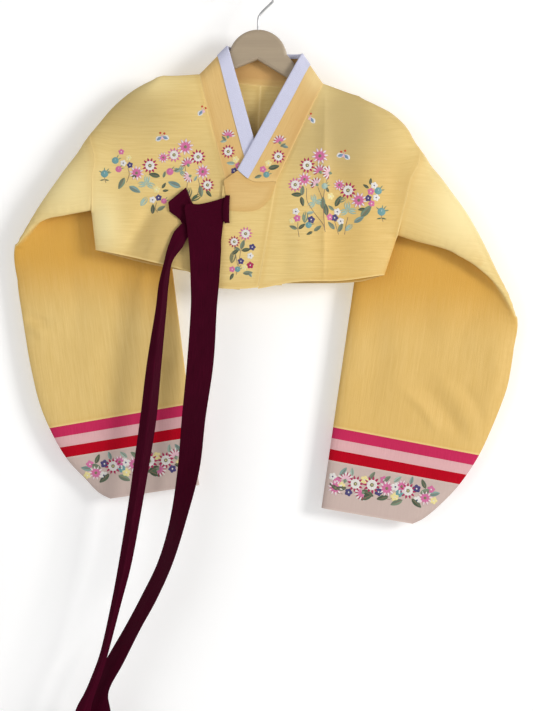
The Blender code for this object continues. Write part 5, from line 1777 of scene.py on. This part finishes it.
def make_camera():
    data = bpy.data.cameras.new("camera")
    data.sensor_fit = "HORIZONTAL"
    data.lens = data.sensor_width * CAMERA_AWAY / PICTURE_WIDTH
    camera = add_object("camera", data)
    camera.location = (PICTURE_MIDDLE[0], -CAMERA_AWAY, PICTURE_MIDDLE[1])
    camera.rotation_euler = (math.pi / 2, 0, 0)
    bpy.context.scene.camera = camera


def main():
    for old in list(bpy.data.objects):
        bpy.data.objects.remove(old)
    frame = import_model()
    make_camera()
    # After each silk's light and dark colours come the seam allowance's colour, the tint of the
    # painted shade and glow, and the tint of the painted shade zones
    yellow = silk(
        "yellow_silk", (0.81, 0.605, 0.245), (0.68, 0.475, 0.155), (0.70, 0.46, 0.14),
        (0.66, 0.33, 0.030), (0.50, 0.375, 0.155),
    )  # fmt: skip
    orange = silk(
        "collar_silk", (0.76, 0.52, 0.205), (0.67, 0.43, 0.150), (0.64, 0.38, 0.11),
        (0.60, 0.31, 0.07), (0.60, 0.34, 0.115),
    )  # fmt: skip
    burgundy = satin("burgundy_satin", (0.060, 0.0012, 0.0125), (0.036, 0.0007, 0.0075), 0.45, 0.03)
    magenta = satin("magenta_satin", (0.60, 0.030, 0.112), (0.51, 0.022, 0.088))
    pink = satin("pink_satin", (0.76, 0.450, 0.455), (0.68, 0.38, 0.39))
    red = satin("red_satin", (0.50, 0.001, 0.015), (0.42, 0.001, 0.011))
    cream = silk(
        "cuff_silk", (0.60, 0.475, 0.420), (0.50, 0.385, 0.345), (0.56, 0.42, 0.38),
        (0.56, 0.42, 0.38), (0.56, 0.42, 0.38), slub=0.25,
    )  # fmt: skip
    materials = {
        "body": (yellow, "yellow_cloth"),
        "sleeve": (yellow, "yellow_cloth"),
        "stripe_magenta": (magenta, "magenta_cloth"),
        "stripe_pink": (pink, "pink_cloth"),
        "stripe_red": (red, "red_cloth"),
        "cuff_band": (cream, "cuff_cloth"),
    }
    pieces = {}
    for hang in (RIGHT, LEFT):
        half = Half(hang)
        for name, (material, slot) in materials.items():
            node = f"{name}_{hang.side}"
            pieces[node] = cloth_piece(
                f"{node}_cloth", half.points, half.normals, half.quads[name], half.grain, CLOTH,
                SEAM_DRAW, material, [node], half.turned,
            )  # fmt: skip
    pieces["git"] = make_git(orange)
    pieces["dongjeong"] = make_dongjeong(stiff_paper_cloth("white_strip"))
    pieces["seop_inner"], pieces["seop_outer"] = make_overlaps(yellow)
    pieces["git_head"] = make_head(orange)
    pieces["goreum_long"], pieces["goreum_short"] = make_ribbons(burgundy)
    folded_end = make_folded_end(burgundy)
    flowers = make_embroidery(pieces)
    frame["nodes"]["hanger_wood"].material_slots[0].material = wood("pale_wood")
    make_hook(steel("hook_steel"))
    make_stage()
    make_lights()
    extra = {node: [piece] for node, piece in flowers.items()}
    extra["goreum_long"] = [folded_end]


main()
